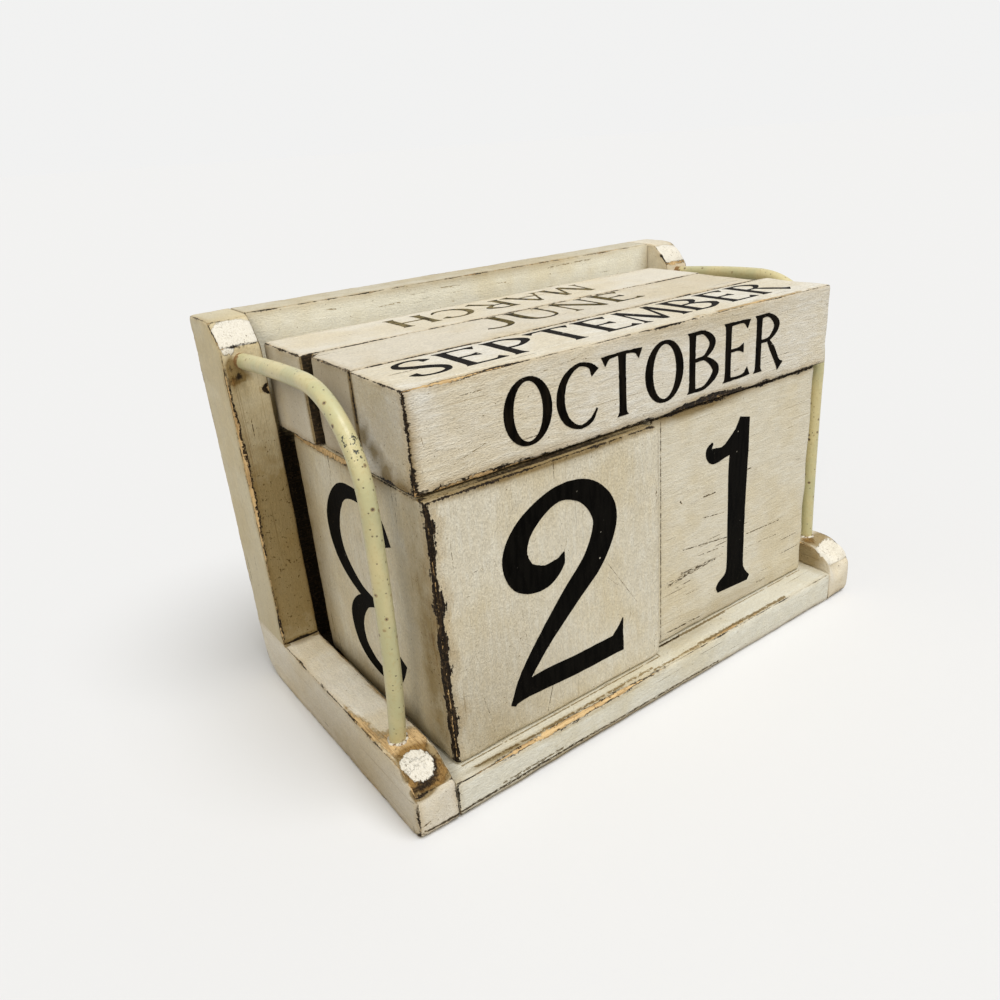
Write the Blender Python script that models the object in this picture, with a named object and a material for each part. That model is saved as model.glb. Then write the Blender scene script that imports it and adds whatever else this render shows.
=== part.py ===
# Perpetual desk calendar: two day cubes and three month bars in a painted wooden tray frame.
#
# Metres. +X is the right of the calendar, +Y its back, +Z up. The origin is the middle of the
# footprint, on the table. The frame is two L-shaped sides, each a foot with a post standing on
# its back end, joined by a base board and a back panel. A bent steel rod guards each side. The
# cubes stand on the base board and the bars lie across the cubes, all of them loose.

import bpy
import bmesh
import math
from mathutils import Matrix, Vector

for old in list(bpy.data.objects):
    bpy.data.objects.remove(old, do_unlink=True)

# Driving dimensions of the loose blocks
CUBE_SIDE = 0.0600
BAR_ROW_OVERHANG = 0.0012
BLOCK_GAP = 0.0003
BLOCK_ARRIS = 0.0007
KNOCKED_CORNER = 0.0016

# Driving dimensions of the frame
SIDE_PLAY = 0.00335
SIDE_THICKNESS = 0.0095
FRONT_AND_BACK_SPARE = 0.0125
PANEL_THICKNESS = 0.0100
BOARD_THICKNESS = 0.0092
FOOT_HEIGHT = 0.0155
POST_DEPTH = 0.0180
POST_RISE_ABOVE_BARS = 0.0062
GLUE_LINE = 0.00015
FRAME_ARRIS = 0.0006
NOSE_ROUND = 0.0015
HEEL_RADIUS = 0.0080
TOE_BEVEL = 0.0018
POST_CHAMFER_HEIGHT = 0.0053
POST_CHAMFER_DEPTH = 0.0056
FOOT_CHAMFER_HEIGHT = 0.0043
FOOT_CHAMFER_DEPTH = 0.0048

# How much shorter each bar was sawn than the tray is wide
FRONT_BAR_PLAY = 0.0030
MIDDLE_BAR_PLAY = 0.0080
REAR_BAR_PLAY = 0.0050

# Where the loose blocks were set down, as shares of their play: from the front of the base
# board towards the panel, and from the middle towards the right side
TENS_CUBE_SETBACK_SHARE = 0.35
UNITS_CUBE_SETBACK_SHARE = 0.60
BARS_SETBACK_SHARE = 0.59
CUBE_PAIR_SHIFT_SHARE = -0.15
FRONT_BAR_SHIFT_SHARE = 0.66
MIDDLE_BAR_SHIFT_SHARE = -0.30
REAR_BAR_SHIFT_SHARE = -0.48

# Driving dimensions of the bent side rods. Reach and foot hole are measured back from the
# feet's front faces; the two rods were bent by hand and differ a little.
ROD_RADIUS = 0.00185
ROD_CLEARANCE = 0.0003
ROD_INSET_SHARE = 0.46
ROD_BEND_RADIUS = 0.0200
ROD_CREST_BELOW_TOP = 0.0070
ROD_CREST_RISE = 0.0017
ROD_POST_DEPTH = 0.0110
ROD_FOOT_DEPTH = 0.0080
LEFT_ROD_REACH = 0.0097
LEFT_ROD_FOOT_HOLE = 0.0136
RIGHT_ROD_REACH = 0.0130
RIGHT_ROD_FOOT_HOLE = 0.0124
ROD_SIDES = 12
RUN_STEPS = 8
BEND_STEPS = 10
LEG_STEPS = 12

# Driving dimensions of the hidden brads
BRAD_LENGTH = 0.0230
BRAD_SHANK_RADIUS = 0.0006
BRAD_HEAD_RADIUS = 0.0010
BRAD_HEAD_THICKNESS = 0.0006
BRAD_POINT_LENGTH = 0.0015
BRAD_SUNK = 0.0012
BRAD_CLEARANCE = 0.0003
BRAD_SIDES = 12
BASE_BRAD_MARGIN = 0.0250
PANEL_BRAD_MARGIN = 0.0200
FOOT_BRAD_SHARE = 0.30

# One overrun serves every cut
OVERRUN = 0.0020
ARC_STEPS = 6
ARRIS_SEGMENTS = 2
SHARP_ANGLE = math.radians(40)

# Sizes that follow
BAR_SIDE = (CUBE_SIDE + BAR_ROW_OVERHANG - 2 * BLOCK_GAP) / 3
TRAY_WIDTH = 2 * CUBE_SIDE + BLOCK_GAP + 2 * SIDE_PLAY
FRAME_WIDTH = TRAY_WIDTH + 2 * SIDE_THICKNESS
FRAME_DEPTH = CUBE_SIDE + FRONT_AND_BACK_SPARE + PANEL_THICKNESS
CUBE_BOTTOM = BOARD_THICKNESS + BLOCK_GAP
BAR_BOTTOM = CUBE_BOTTOM + CUBE_SIDE + BLOCK_GAP
FRAME_HEIGHT = BAR_BOTTOM + BAR_SIDE + POST_RISE_ABOVE_BARS
FRONT = -FRAME_DEPTH / 2
BACK = FRAME_DEPTH / 2
POST_FRONT = BACK - POST_DEPTH
PANEL_FRONT = BACK - PANEL_THICKNESS
INNER = TRAY_WIDTH / 2
OUTER = FRAME_WIDTH / 2
POST_BOTTOM = FOOT_HEIGHT + GLUE_LINE
PANEL_BOTTOM = BOARD_THICKNESS + GLUE_LINE
ROD_X = OUTER - SIDE_THICKNESS * ROD_INSET_SHARE
ROD_CREST = FRAME_HEIGHT - ROD_CREST_BELOW_TOP
ROD_HOLE_HEIGHT = ROD_CREST - ROD_CREST_RISE
NOSE_BOTTOM = FOOT_HEIGHT - FOOT_CHAMFER_HEIGHT
ARRIS_SHARE = FRAME_ARRIS / NOSE_ROUND


def painted(name, color, roughness, metallic=0.0):
    """A plain finish: one Principled shader."""
    material = bpy.data.materials.new(name)
    material.use_nodes = True
    shader = material.node_tree.nodes["Principled BSDF"]
    shader.inputs["Base Color"].default_value = (*color, 1.0)
    shader.inputs["Roughness"].default_value = roughness
    shader.inputs["Metallic"].default_value = metallic
    return material


FRAME_PAINT = painted("frame_paint", (0.63, 0.60, 0.50), 0.62)
CUBE_PAINT = painted("cube_paint", (0.62, 0.59, 0.50), 0.60)
BAR_PAINT = painted("bar_paint", (0.66, 0.63, 0.54), 0.60)
ROD_PAINT = painted("rod_paint", (0.66, 0.62, 0.44), 0.35)
BRAD_STEEL = painted("brad_steel", (0.42, 0.41, 0.40), 0.40, 1.0)


def finish(name, mesh_data, material, origin=Vector()):
    """Turn a bmesh into a named object whose origin is at the given point."""
    bmesh.ops.translate(mesh_data, verts=mesh_data.verts, vec=-Vector(origin))
    bmesh.ops.recalc_face_normals(mesh_data, faces=mesh_data.faces)
    mesh = bpy.data.meshes.new(name)
    mesh_data.to_mesh(mesh)
    mesh_data.free()
    mesh.materials.append(material)
    part = bpy.data.objects.new(name, mesh)
    part.location = origin
    bpy.context.collection.objects.link(part)
    return part


def ease_edges(part, width, limit_method):
    """Ease the edges of a wooden piece, by angle or by the weights that its edges carry."""
    bevel = part.modifiers.new("arris", "BEVEL")
    bevel.width = width
    bevel.segments = ARRIS_SEGMENTS
    bevel.limit_method = limit_method
    bevel.angle_limit = SHARP_ANGLE


def cut(part, cutter):
    """Take a cutter out of a part and keep the cutter out of the model."""
    cutter.hide_render = True
    cutter.display_type = "WIRE"
    boolean = part.modifiers.new("cut_" + cutter.name, "BOOLEAN")
    boolean.operation = "DIFFERENCE"
    boolean.solver = "EXACT"
    boolean.object = cutter


def weigh_edges(mesh_data, glued, rounded):
    """Mark how far each edge is eased: not at all where it is glued flush to a neighbour, fully
    where it was rounded by hand, and by the usual arris elsewhere."""
    mesh_data.normal_update()
    weight = mesh_data.edges.layers.float.new("bevel_weight_edge")
    for edge in mesh_data.edges:
        ends = [vert.co for vert in edge.verts]
        if edge.calc_face_angle() < SHARP_ANGLE or glued(ends):
            continue
        edge[weight] = 1.0 if rounded(ends) else ARRIS_SHARE


def all_at(ends, axis, value):
    """True where both ends of an edge lie at one value along an axis."""
    return all(abs(end[axis] - value) < GLUE_LINE / 2 for end in ends)


def board(name, outline, x_low, x_high, glued, rounded=lambda ends: False):
    """A board sawn to an outline in depth and height, with its thickness across the width."""
    mesh_data = bmesh.new()
    near = [mesh_data.verts.new((x_low, depth, height)) for depth, height in outline]
    face = mesh_data.faces.new(near)
    grown = bmesh.ops.extrude_face_region(mesh_data, geom=[face])
    far = [item for item in grown["geom"] if isinstance(item, bmesh.types.BMVert)]
    bmesh.ops.translate(mesh_data, verts=far, vec=(x_high - x_low, 0, 0))
    weigh_edges(mesh_data, glued, rounded)
    part = finish(name, mesh_data, FRAME_PAINT)
    ease_edges(part, NOSE_ROUND, "WEIGHT")
    return part


def heel(depth, height):
    """The rounded heel at the back of the base, from its underside round to its back."""
    points = []
    for step in range(ARC_STEPS + 1):
        angle = -math.pi / 2 + math.pi / 2 * step / ARC_STEPS
        points.append((depth - HEEL_RADIUS + HEEL_RADIUS * math.cos(angle),
                       height + HEEL_RADIUS + HEEL_RADIUS * math.sin(angle)))
    return points


def foot_outline():
    """A foot from the side: bevelled toe, chamfered nose and rounded heel."""
    return [(FRONT + TOE_BEVEL, 0.0)] + heel(BACK, 0.0) + [
        (BACK, FOOT_HEIGHT),
        (FRONT + FOOT_CHAMFER_DEPTH, FOOT_HEIGHT),
        (FRONT, FOOT_HEIGHT - FOOT_CHAMFER_HEIGHT),
        (FRONT, TOE_BEVEL),
    ]


def base_outline():
    """The base board from the side: bevelled front edge and rounded heel."""
    return [(FRONT + TOE_BEVEL, 0.0)] + heel(BACK, 0.0) + [
        (BACK, BOARD_THICKNESS),
        (FRONT, BOARD_THICKNESS),
        (FRONT, TOE_BEVEL),
    ]


def post_outline():
    """A post from the side, with the chamfer on its front top edge."""
    return [
        (POST_FRONT, POST_BOTTOM),
        (BACK, POST_BOTTOM),
        (BACK, FRAME_HEIGHT),
        (POST_FRONT + POST_CHAMFER_DEPTH, FRAME_HEIGHT),
        (POST_FRONT, FRAME_HEIGHT - POST_CHAMFER_HEIGHT),
    ]


def panel_outline():
    """The back panel from the side, standing on the base board."""
    return [
        (PANEL_FRONT, PANEL_BOTTOM),
        (BACK, PANEL_BOTTOM),
        (BACK, FRAME_HEIGHT),
        (PANEL_FRONT, FRAME_HEIGHT),
    ]


def block(name, low, size, material, knocked=False):
    """A loose block; a knocked one has lost its rear left upright edge."""
    mesh_data = bmesh.new()
    centre = Vector(low) + Vector(size) / 2
    bmesh.ops.create_cube(mesh_data, size=1.0)
    bmesh.ops.scale(mesh_data, verts=mesh_data.verts, vec=size)
    if knocked:
        edges = [edge for edge in mesh_data.edges
                 if all(vert.co.x < 0 < vert.co.y for vert in edge.verts)]
        bmesh.ops.bevel(mesh_data, geom=edges, offset=KNOCKED_CORNER, segments=1,
                        affect="EDGES", profile=0.5, material=-1)
    bmesh.ops.translate(mesh_data, verts=mesh_data.verts, vec=centre)
    part = finish(name, mesh_data, material, centre)
    ease_edges(part, BLOCK_ARRIS, "ANGLE")
    return part


def rod_path(reach, foot_hole):
    """Centreline of a side rod in depth and height: from inside the post, forward and a little
    up to its crest, round the bend and down the bowed leg into the foot."""
    front = FRONT + reach
    foot = FRONT + foot_hole
    bend_y = front + ROD_BEND_RADIUS
    bend_z = ROD_CREST - ROD_BEND_RADIUS
    points = [(POST_FRONT + ROD_POST_DEPTH, ROD_HOLE_HEIGHT)]
    for step in range(RUN_STEPS + 1):
        share = step / RUN_STEPS
        rise = ROD_CREST_RISE * math.sin(share * math.pi / 2)
        points.append((POST_FRONT + (bend_y - POST_FRONT) * share, ROD_HOLE_HEIGHT + rise))
    for step in range(1, BEND_STEPS + 1):
        angle = math.pi / 2 * step / BEND_STEPS
        points.append((bend_y - ROD_BEND_RADIUS * math.sin(angle),
                       bend_z + ROD_BEND_RADIUS * math.cos(angle)))
    leg = bend_z - FOOT_HEIGHT
    for step in range(1, LEG_STEPS + 1):
        share = step / LEG_STEPS
        points.append((front + (foot - front) * share ** 3, bend_z - leg * share))
    lean = 3 * (foot - front) / leg
    points.append((foot + lean * ROD_FOOT_DEPTH, FOOT_HEIGHT - ROD_FOOT_DEPTH))
    return points


def round_bar(mesh_data, x, points, radius, sides):
    """Sweep a circle along a path in depth and height, at one place across the width."""
    rings = []
    for index, (depth, height) in enumerate(points):
        before = points[max(index - 1, 0)]
        after = points[min(index + 1, len(points) - 1)]
        along = Vector((0, after[0] - before[0], after[1] - before[1])).normalized()
        across = Vector((1, 0, 0))
        up = across.cross(along)
        ring = []
        for side in range(sides):
            angle = 2 * math.pi * side / sides
            offset = (across * math.cos(angle) + up * math.sin(angle)) * radius
            ring.append(mesh_data.verts.new(Vector((x, depth, height)) + offset))
        rings.append(ring)
    for ring, following in zip(rings, rings[1:]):
        for side in range(sides):
            other = (side + 1) % sides
            mesh_data.faces.new((ring[side], ring[other], following[other], following[side]))
    mesh_data.faces.new(list(reversed(rings[0])))
    mesh_data.faces.new(rings[-1])


def bent_rod(name, x, path):
    """One painted steel rod, smooth along its length and flat at its ends."""
    mesh_data = bmesh.new()
    round_bar(mesh_data, x, path, ROD_RADIUS, ROD_SIDES)
    part = finish(name, mesh_data, ROD_PAINT)
    part.data.shade_smooth()
    part.data.set_sharp_from_angle(angle=SHARP_ANGLE)
    return part


def rod_hole(name, x, inside, mouth):
    """A round cutter for a rod's end, from just past the end to just past the mouth."""
    start = Vector((0, *inside))
    end = Vector((0, *mouth))
    along = (end - start).normalized()
    deep = start - along * ROD_CLEARANCE
    clear = end + along * OVERRUN
    mesh_data = bmesh.new()
    round_bar(mesh_data, x, [(deep.y, deep.z), (clear.y, clear.z)],
              ROD_RADIUS + ROD_CLEARANCE, 2 * ROD_SIDES)
    return finish(name, mesh_data, ROD_PAINT)


def turned(name, start, direction, profile, material):
    """A round piece turned about an axis: the profile is (distance along, radius) pairs."""
    mesh_data = bmesh.new()
    rings = []
    for along, radius in profile:
        circle = bmesh.ops.create_circle(mesh_data, cap_ends=False, segments=BRAD_SIDES,
                                         radius=radius, matrix=Matrix.Translation((0, 0, along)))
        rings.append(circle["verts"])
    for ring, following in zip(rings, rings[1:]):
        for side in range(BRAD_SIDES):
            other = (side + 1) % BRAD_SIDES
            mesh_data.faces.new((ring[side], ring[other], following[other], following[side]))
    mesh_data.faces.new(rings[0])
    mesh_data.faces.new(rings[-1])
    turn = Vector((0, 0, 1)).rotation_difference(Vector(direction)).to_matrix().to_4x4()
    bmesh.ops.transform(mesh_data, matrix=turn, verts=mesh_data.verts)
    bmesh.ops.translate(mesh_data, verts=mesh_data.verts, vec=start)
    return finish(name, mesh_data, material)


def brad(name, start, direction):
    """A steel brad: head, shank and blunt point, along its direction from its head."""
    profile = [
        (0.0, BRAD_HEAD_RADIUS),
        (BRAD_HEAD_THICKNESS, BRAD_HEAD_RADIUS),
        (BRAD_HEAD_THICKNESS, BRAD_SHANK_RADIUS),
        (BRAD_LENGTH - BRAD_POINT_LENGTH, BRAD_SHANK_RADIUS),
        (BRAD_LENGTH, BRAD_SHANK_RADIUS / 2),
    ]
    part = turned(name, start, direction, profile, BRAD_STEEL)
    part.data.shade_smooth()
    part.data.set_sharp_from_angle(angle=SHARP_ANGLE)
    return part


def brad_hole(name, start, direction, joint):
    """The cutter for a sunk brad: as wide as the head up to the joint, then as the shank."""
    profile = [
        (-BRAD_CLEARANCE, BRAD_HEAD_RADIUS + BRAD_CLEARANCE),
        (joint, BRAD_HEAD_RADIUS + BRAD_CLEARANCE),
        (joint, BRAD_SHANK_RADIUS + BRAD_CLEARANCE),
        (BRAD_LENGTH + BRAD_CLEARANCE, BRAD_SHANK_RADIUS + BRAD_CLEARANCE),
    ]
    return turned(name, start, direction, profile, BRAD_STEEL)


def nail(name, start, direction, thickness, first, second):
    """Drive a brad through the first piece, of the given thickness, into the second."""
    hole = brad_hole(name + "_hole", start, direction, thickness - BRAD_SUNK + GLUE_LINE / 2)
    cut(first, hole)
    cut(second, hole)
    brad(name, start, direction)


def build_foot(name, sign, x_low, x_high):
    """A foot: square where the base board is glued flush to it, rounded at its outer nose."""
    def glued(ends):
        return all_at(ends, 0, sign * INNER) and all(end.z < NOSE_BOTTOM + GLUE_LINE for end in ends)

    def rounded(ends):
        return all_at(ends, 0, sign * OUTER) and all_at(ends, 1, FRONT)

    return board(name, foot_outline(), x_low, x_high, glued, rounded)


def build_post(name, sign, x_low, x_high):
    """A post: square where it stands on the foot and where the back panel is glued flush."""
    def glued(ends):
        beside_panel = all_at(ends, 1, BACK) or all_at(ends, 2, FRAME_HEIGHT)
        return all_at(ends, 2, POST_BOTTOM) or (all_at(ends, 0, sign * INNER) and beside_panel)

    return board(name, post_outline(), x_low, x_high, glued)


def build_frame():
    """The base board, the back panel, and on each side a foot, a post, a rod and brads."""
    reach_of_board = INNER - GLUE_LINE

    def board_glued(ends):
        return all_at(ends, 0, reach_of_board) or all_at(ends, 0, -reach_of_board)

    def panel_glued(ends):
        return board_glued(ends) or all_at(ends, 2, PANEL_BOTTOM)

    shelf = board("base_board", base_outline(), -reach_of_board, reach_of_board, board_glued)
    panel = board("back_panel", panel_outline(), -reach_of_board, reach_of_board, panel_glued)
    sides = [("left", -1, LEFT_ROD_REACH, LEFT_ROD_FOOT_HOLE),
             ("right", 1, RIGHT_ROD_REACH, RIGHT_ROD_FOOT_HOLE)]
    for side, sign, reach, foot_hole in sides:
        x_low = min(sign * INNER, sign * OUTER)
        x_high = max(sign * INNER, sign * OUTER)
        foot = build_foot(side + "_foot", sign, x_low, x_high)
        post = build_post(side + "_post", sign, x_low, x_high)
        path = rod_path(reach, foot_hole)
        cut(post, rod_hole(side + "_post_hole", sign * ROD_X, path[0], path[1]))
        cut(foot, rod_hole(side + "_foot_hole", sign * ROD_X, path[-1], path[-2]))
        bent_rod(side + "_rod", sign * ROD_X, path)
        head_x = sign * (OUTER - BRAD_SUNK)
        inward = (-sign, 0, 0)
        depths = (("front", FRONT + BASE_BRAD_MARGIN), ("rear", BACK - BASE_BRAD_MARGIN))
        for place, depth in depths:
            start = (head_x, depth, BOARD_THICKNESS / 2)
            nail(f"{side}_base_brad_{place}", start, inward, SIDE_THICKNESS, foot, shelf)
        panel_y = (PANEL_FRONT + BACK) / 2
        heights = (("lower", POST_BOTTOM + PANEL_BRAD_MARGIN),
                   ("upper", FRAME_HEIGHT - PANEL_BRAD_MARGIN))
        for place, height in heights:
            start = (head_x, panel_y, height)
            nail(f"{side}_panel_brad_{place}", start, inward, SIDE_THICKNESS, post, panel)
        under_post = POST_FRONT + POST_DEPTH * FOOT_BRAD_SHARE
        start = (sign * (INNER + OUTER) / 2, under_post, BRAD_SUNK)
        nail(side + "_foot_brad", start, (0, 0, 1), FOOT_HEIGHT, foot, post)


def build_cubes():
    """The two day cubes, side by side on the base board."""
    size = (CUBE_SIDE, CUBE_SIDE, CUBE_SIDE)
    seam = SIDE_PLAY * CUBE_PAIR_SHIFT_SHARE
    tens_front = FRONT + FRONT_AND_BACK_SPARE * TENS_CUBE_SETBACK_SHARE
    units_front = FRONT + FRONT_AND_BACK_SPARE * UNITS_CUBE_SETBACK_SHARE
    tens_low = (seam - BLOCK_GAP / 2 - CUBE_SIDE, tens_front, CUBE_BOTTOM)
    units_low = (seam + BLOCK_GAP / 2, units_front, CUBE_BOTTOM)
    block("tens_cube", tens_low, size, CUBE_PAINT)
    block("units_cube", units_low, size, CUBE_PAINT)


def build_bars():
    """The three month bars, front to back on top of the cubes."""
    bars = [("front_month_bar", FRONT_BAR_PLAY, FRONT_BAR_SHIFT_SHARE, False),
            ("middle_month_bar", MIDDLE_BAR_PLAY, MIDDLE_BAR_SHIFT_SHARE, True),
            ("rear_month_bar", REAR_BAR_PLAY, REAR_BAR_SHIFT_SHARE, False)]
    row_play = FRONT_AND_BACK_SPARE - BAR_ROW_OVERHANG
    row_front = FRONT + row_play * BARS_SETBACK_SHARE
    for row, (name, play, shift_share, knocked) in enumerate(bars):
        length = TRAY_WIDTH - play
        shift = play / 2 * shift_share
        low = (shift - length / 2, row_front + row * (BAR_SIDE + BLOCK_GAP), BAR_BOTTOM)
        block(name, low, (length, BAR_SIDE, BAR_SIDE), BAR_PAINT, knocked)


build_frame()
build_cubes()
build_bars()
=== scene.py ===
# A perpetual desk calendar: loose wooden cubes and bars in a tray frame, all brushed with cream
# chalk paint and rubbed back at the edges. Each section is one piece, or one group of like
# pieces, in the order in which the calendar is put together. Metres, with wear in millimetres.

import math

import bmesh
import bpy
from mathutils import Euler, Matrix, Vector, geometry, noise


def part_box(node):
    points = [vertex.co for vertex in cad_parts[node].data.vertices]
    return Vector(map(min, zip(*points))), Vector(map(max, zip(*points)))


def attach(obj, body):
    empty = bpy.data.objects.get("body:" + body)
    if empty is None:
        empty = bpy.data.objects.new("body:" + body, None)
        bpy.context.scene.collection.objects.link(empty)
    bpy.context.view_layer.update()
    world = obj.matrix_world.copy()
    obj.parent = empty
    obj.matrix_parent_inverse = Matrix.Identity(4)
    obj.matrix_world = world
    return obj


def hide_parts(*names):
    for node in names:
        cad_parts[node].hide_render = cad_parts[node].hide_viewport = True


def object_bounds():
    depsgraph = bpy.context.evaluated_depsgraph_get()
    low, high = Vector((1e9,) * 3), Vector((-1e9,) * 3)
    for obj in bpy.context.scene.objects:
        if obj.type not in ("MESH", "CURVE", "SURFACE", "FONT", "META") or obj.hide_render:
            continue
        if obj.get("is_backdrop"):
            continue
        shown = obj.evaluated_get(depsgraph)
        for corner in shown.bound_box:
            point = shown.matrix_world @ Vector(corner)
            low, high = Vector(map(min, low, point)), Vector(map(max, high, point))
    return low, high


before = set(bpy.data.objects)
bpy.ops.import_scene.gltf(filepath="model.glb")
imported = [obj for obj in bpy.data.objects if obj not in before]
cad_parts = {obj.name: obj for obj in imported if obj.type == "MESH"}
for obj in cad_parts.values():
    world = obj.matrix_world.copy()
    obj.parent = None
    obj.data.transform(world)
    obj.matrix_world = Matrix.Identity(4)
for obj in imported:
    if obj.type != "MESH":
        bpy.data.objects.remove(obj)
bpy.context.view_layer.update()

# The base board
# A sawn softwood shelf between the feet, glued and bradded to them, with a bevelled toe along
# its front and a rounded heel. Its front top edge is rubbed through to the orange wood.

MM = 0.001
LEFT = Vector((-1, 0, 0))
RIGHT = Vector((1, 0, 0))
FRONT = Vector((0, -1, 0))
BACK = Vector((0, 1, 0))
DOWN = Vector((0, 0, -1))
UP = Vector((0, 0, 1))
SQUARE_SIDES = {"left": LEFT, "right": RIGHT, "front": FRONT, "back": BACK, "bottom": DOWN, "top": UP}

LAYERS = ("edge_gap", "bare", "grime", "rub", "soil", "streaks", "white")
RULED_PITCH = 3.0 * MM
FINE_SPANS = (3.6 * MM, 1.9 * MM, 1.0 * MM)
ROUND_TO_SOFTNESS = 2.4
SMOOTH_ANGLE = math.radians(50)
HEEL_FACETS = 8

# Wear, in millimetres: the spans over which it changes, and how far and how deep it goes
SWELL_SPAN = 6.5
CHIP_SPAN = 1.5
CRUMB_SPAN = 0.7
CHIP_REACH = 0.9
CHIP_DEPTH = 0.55
RIPPLE_SPAN = 13.0
RIPPLE_DEPTH = 0.03
BARE_SPAN = 9.0
GRIME_SPAN = 5.0
SHARPEST = 0.02
ON_FLAT = 0.02


def box_flats(low, high):
    """The six flats of a squared block, each a direction and how far out along it."""
    return {name: (outward, max(outward.dot(low), outward.dot(high)))
            for name, outward in SQUARE_SIDES.items()}


def planed(flats, name, point, direction):
    """Add a planed or bevelled flat through a point to a piece's flats."""
    outward = Vector(direction).normalized()
    flats[name] = (outward, outward.dot(Vector(point)))


def heel_flats(flats, back, radius):
    """The rounded heel under the back of the frame, as a few flats round its curve."""
    for facet in range(HEEL_FACETS):
        angle = math.pi / 2 * (facet + 0.5) / HEEL_FACETS
        outward = Vector((0, math.sin(angle), -math.cos(angle)))
        centre = Vector((0, back - radius, radius))
        planed(flats, f"heel_{facet}", centre + outward * radius, outward)


def heel_rules(rules):
    """Wear the heel lightly all round, because its curve has no edge."""
    curve = ["bottom", "back"] + [f"heel_{facet}" for facet in range(HEEL_FACETS)]
    for first in curve:
        for second in curve:
            rules[f"{first} {second}"] = (0.6, 0, 0.03)


def sawn(low, high, flats):
    """A block with its flats cut, ruled all over so that it can take wear."""
    mesh = bmesh.new()
    bmesh.ops.create_cube(mesh, size=1.0)
    bmesh.ops.scale(mesh, verts=mesh.verts, vec=high - low)
    bmesh.ops.translate(mesh, verts=mesh.verts, vec=(low + high) / 2)
    for name, (outward, reach) in flats.items():
        if name in SQUARE_SIDES:
            continue
        solid = mesh.verts[:] + mesh.edges[:] + mesh.faces[:]
        sliced = bmesh.ops.bisect_plane(mesh, geom=solid, plane_co=outward * reach,
                                        plane_no=outward, clear_outer=True)
        rim = [item for item in sliced["geom_cut"] if isinstance(item, bmesh.types.BMEdge)]
        bmesh.ops.edgeloop_fill(mesh, edges=rim)
    for axis in range(3):
        lines = round((high[axis] - low[axis]) / RULED_PITCH)
        for line in range(1, lines):
            point = low.lerp(high, line / lines)
            across = Vector((0, 0, 0))
            across[axis] = 1
            solid = mesh.verts[:] + mesh.edges[:] + mesh.faces[:]
            bmesh.ops.bisect_plane(mesh, geom=solid, plane_co=point, plane_no=across)
    return mesh


def edge_gap(point, flats):
    """How far a point on the surface is from the nearest edge."""
    gaps = sorted(reach - outward.dot(point) for outward, reach in flats.values())
    return gaps[1]


def refined(mesh, flats):
    """Divide the mesh again and again towards its edges, where the wear is fine."""
    for span in FINE_SPANS:
        near = [edge for edge in mesh.edges
                if all(edge_gap(vert.co, flats) < span for vert in edge.verts)]
        bmesh.ops.subdivide_edges(mesh, edges=near, cuts=1, use_grid_fill=True)


def wear_at(gaps, rules, usual):
    """The wear at a point: that of the edges close by, each counted by how close it is."""
    closeness = 0.8
    total = 0.0
    worn = Vector((0, 0, 0))
    near = gaps[:3]
    for first in range(3):
        for second in range(first + 1, 3):
            reach = near[first][0] + near[second][0]
            share = math.exp(-reach / closeness) + 1e-9
            pair = frozenset((near[first][1], near[second][1]))
            worn += Vector(rules.get(pair, usual)) * share
            total += share
    return worn / total


def uncovered(place, joints):
    """How far a point, in millimetres, is from being covered by a piece that is glued on."""
    share = 1.0
    for low, high in joints:
        away = max(max(low[axis] - place[axis], place[axis] - high[axis]) for axis in range(3))
        share = min(share, max(away, 0.0))
    return share


def weathered(mesh, flats, rules, usual, patches, joints=()):
    """Round and chip the edges of a ruled piece, and mark its wear and painted shade for the paint
    to show. The rules say how the edge of two flats has worn: how round it is, then how wide its
    bare wood and its grime are. Each patch is of one layer on one flat: its middle, reach and
    strength."""
    layers = {name: mesh.verts.layers.float.new(name) for name in LAYERS}
    rules = {frozenset(pair.split()): wear for pair, wear in rules.items()}
    worn = []
    for vert in mesh.verts:
        place = vert.co / MM
        gaps = sorted(((reach - outward.dot(vert.co)) / MM, name)
                      for name, (outward, reach) in flats.items())
        rounded, bare, grime = wear_at(gaps, rules, usual) * uncovered(place, joints)
        swell = noise.noise(place / SWELL_SPAN)
        softness = max(rounded / ROUND_TO_SOFTNESS * (1 + 0.6 * swell), SHARPEST)
        slope = Vector((0, 0, 0))
        total = 0.0
        for gap, name in gaps:
            share = math.exp(-max(gap, 0.0) / softness)
            slope += flats[name][0] * share
            total += share
        slope /= total
        rounding = softness * max(math.log(total), 0.0) / slope.length_squared
        chip = max(noise.noise(place / CHIP_SPAN + UP * 40) - 0.12, 0.0)
        chip += 0.35 * max(noise.noise(place / CRUMB_SPAN + UP * 90), 0.0)
        bite = chip * math.exp(-gaps[1][0] / CHIP_REACH) * min(bare + grime, 2.4) * CHIP_DEPTH
        ripple = RIPPLE_DEPTH * (1 + noise.noise(place / RIPPLE_SPAN))
        worn.append(vert.co - slope * (rounding + bite + ripple) * MM)
        vert[layers["edge_gap"]] = gaps[1][0]
        along = noise.noise(place / BARE_SPAN + UP * 17)
        vert[layers["bare"]] = bare * (1 + 1.1 * along)
        vert[layers["grime"]] = grime * (1 + 0.9 * noise.noise(place / GRIME_SPAN + UP * 63))
        near = {name for gap, name in gaps if gap < ON_FLAT}
        for where, centre, reach, strength in patches:
            layer, flat = where.split()
            if flat in near:
                away = Vector((place - Vector(centre))[axis] / reach[axis] for axis in range(3))
                amount = strength * max(1 - away.length, 0.0)
                vert[layers[layer]] = max(vert[layers[layer]], amount)
    for vert, place in zip(mesh.verts, worn):
        vert.co = place


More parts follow.
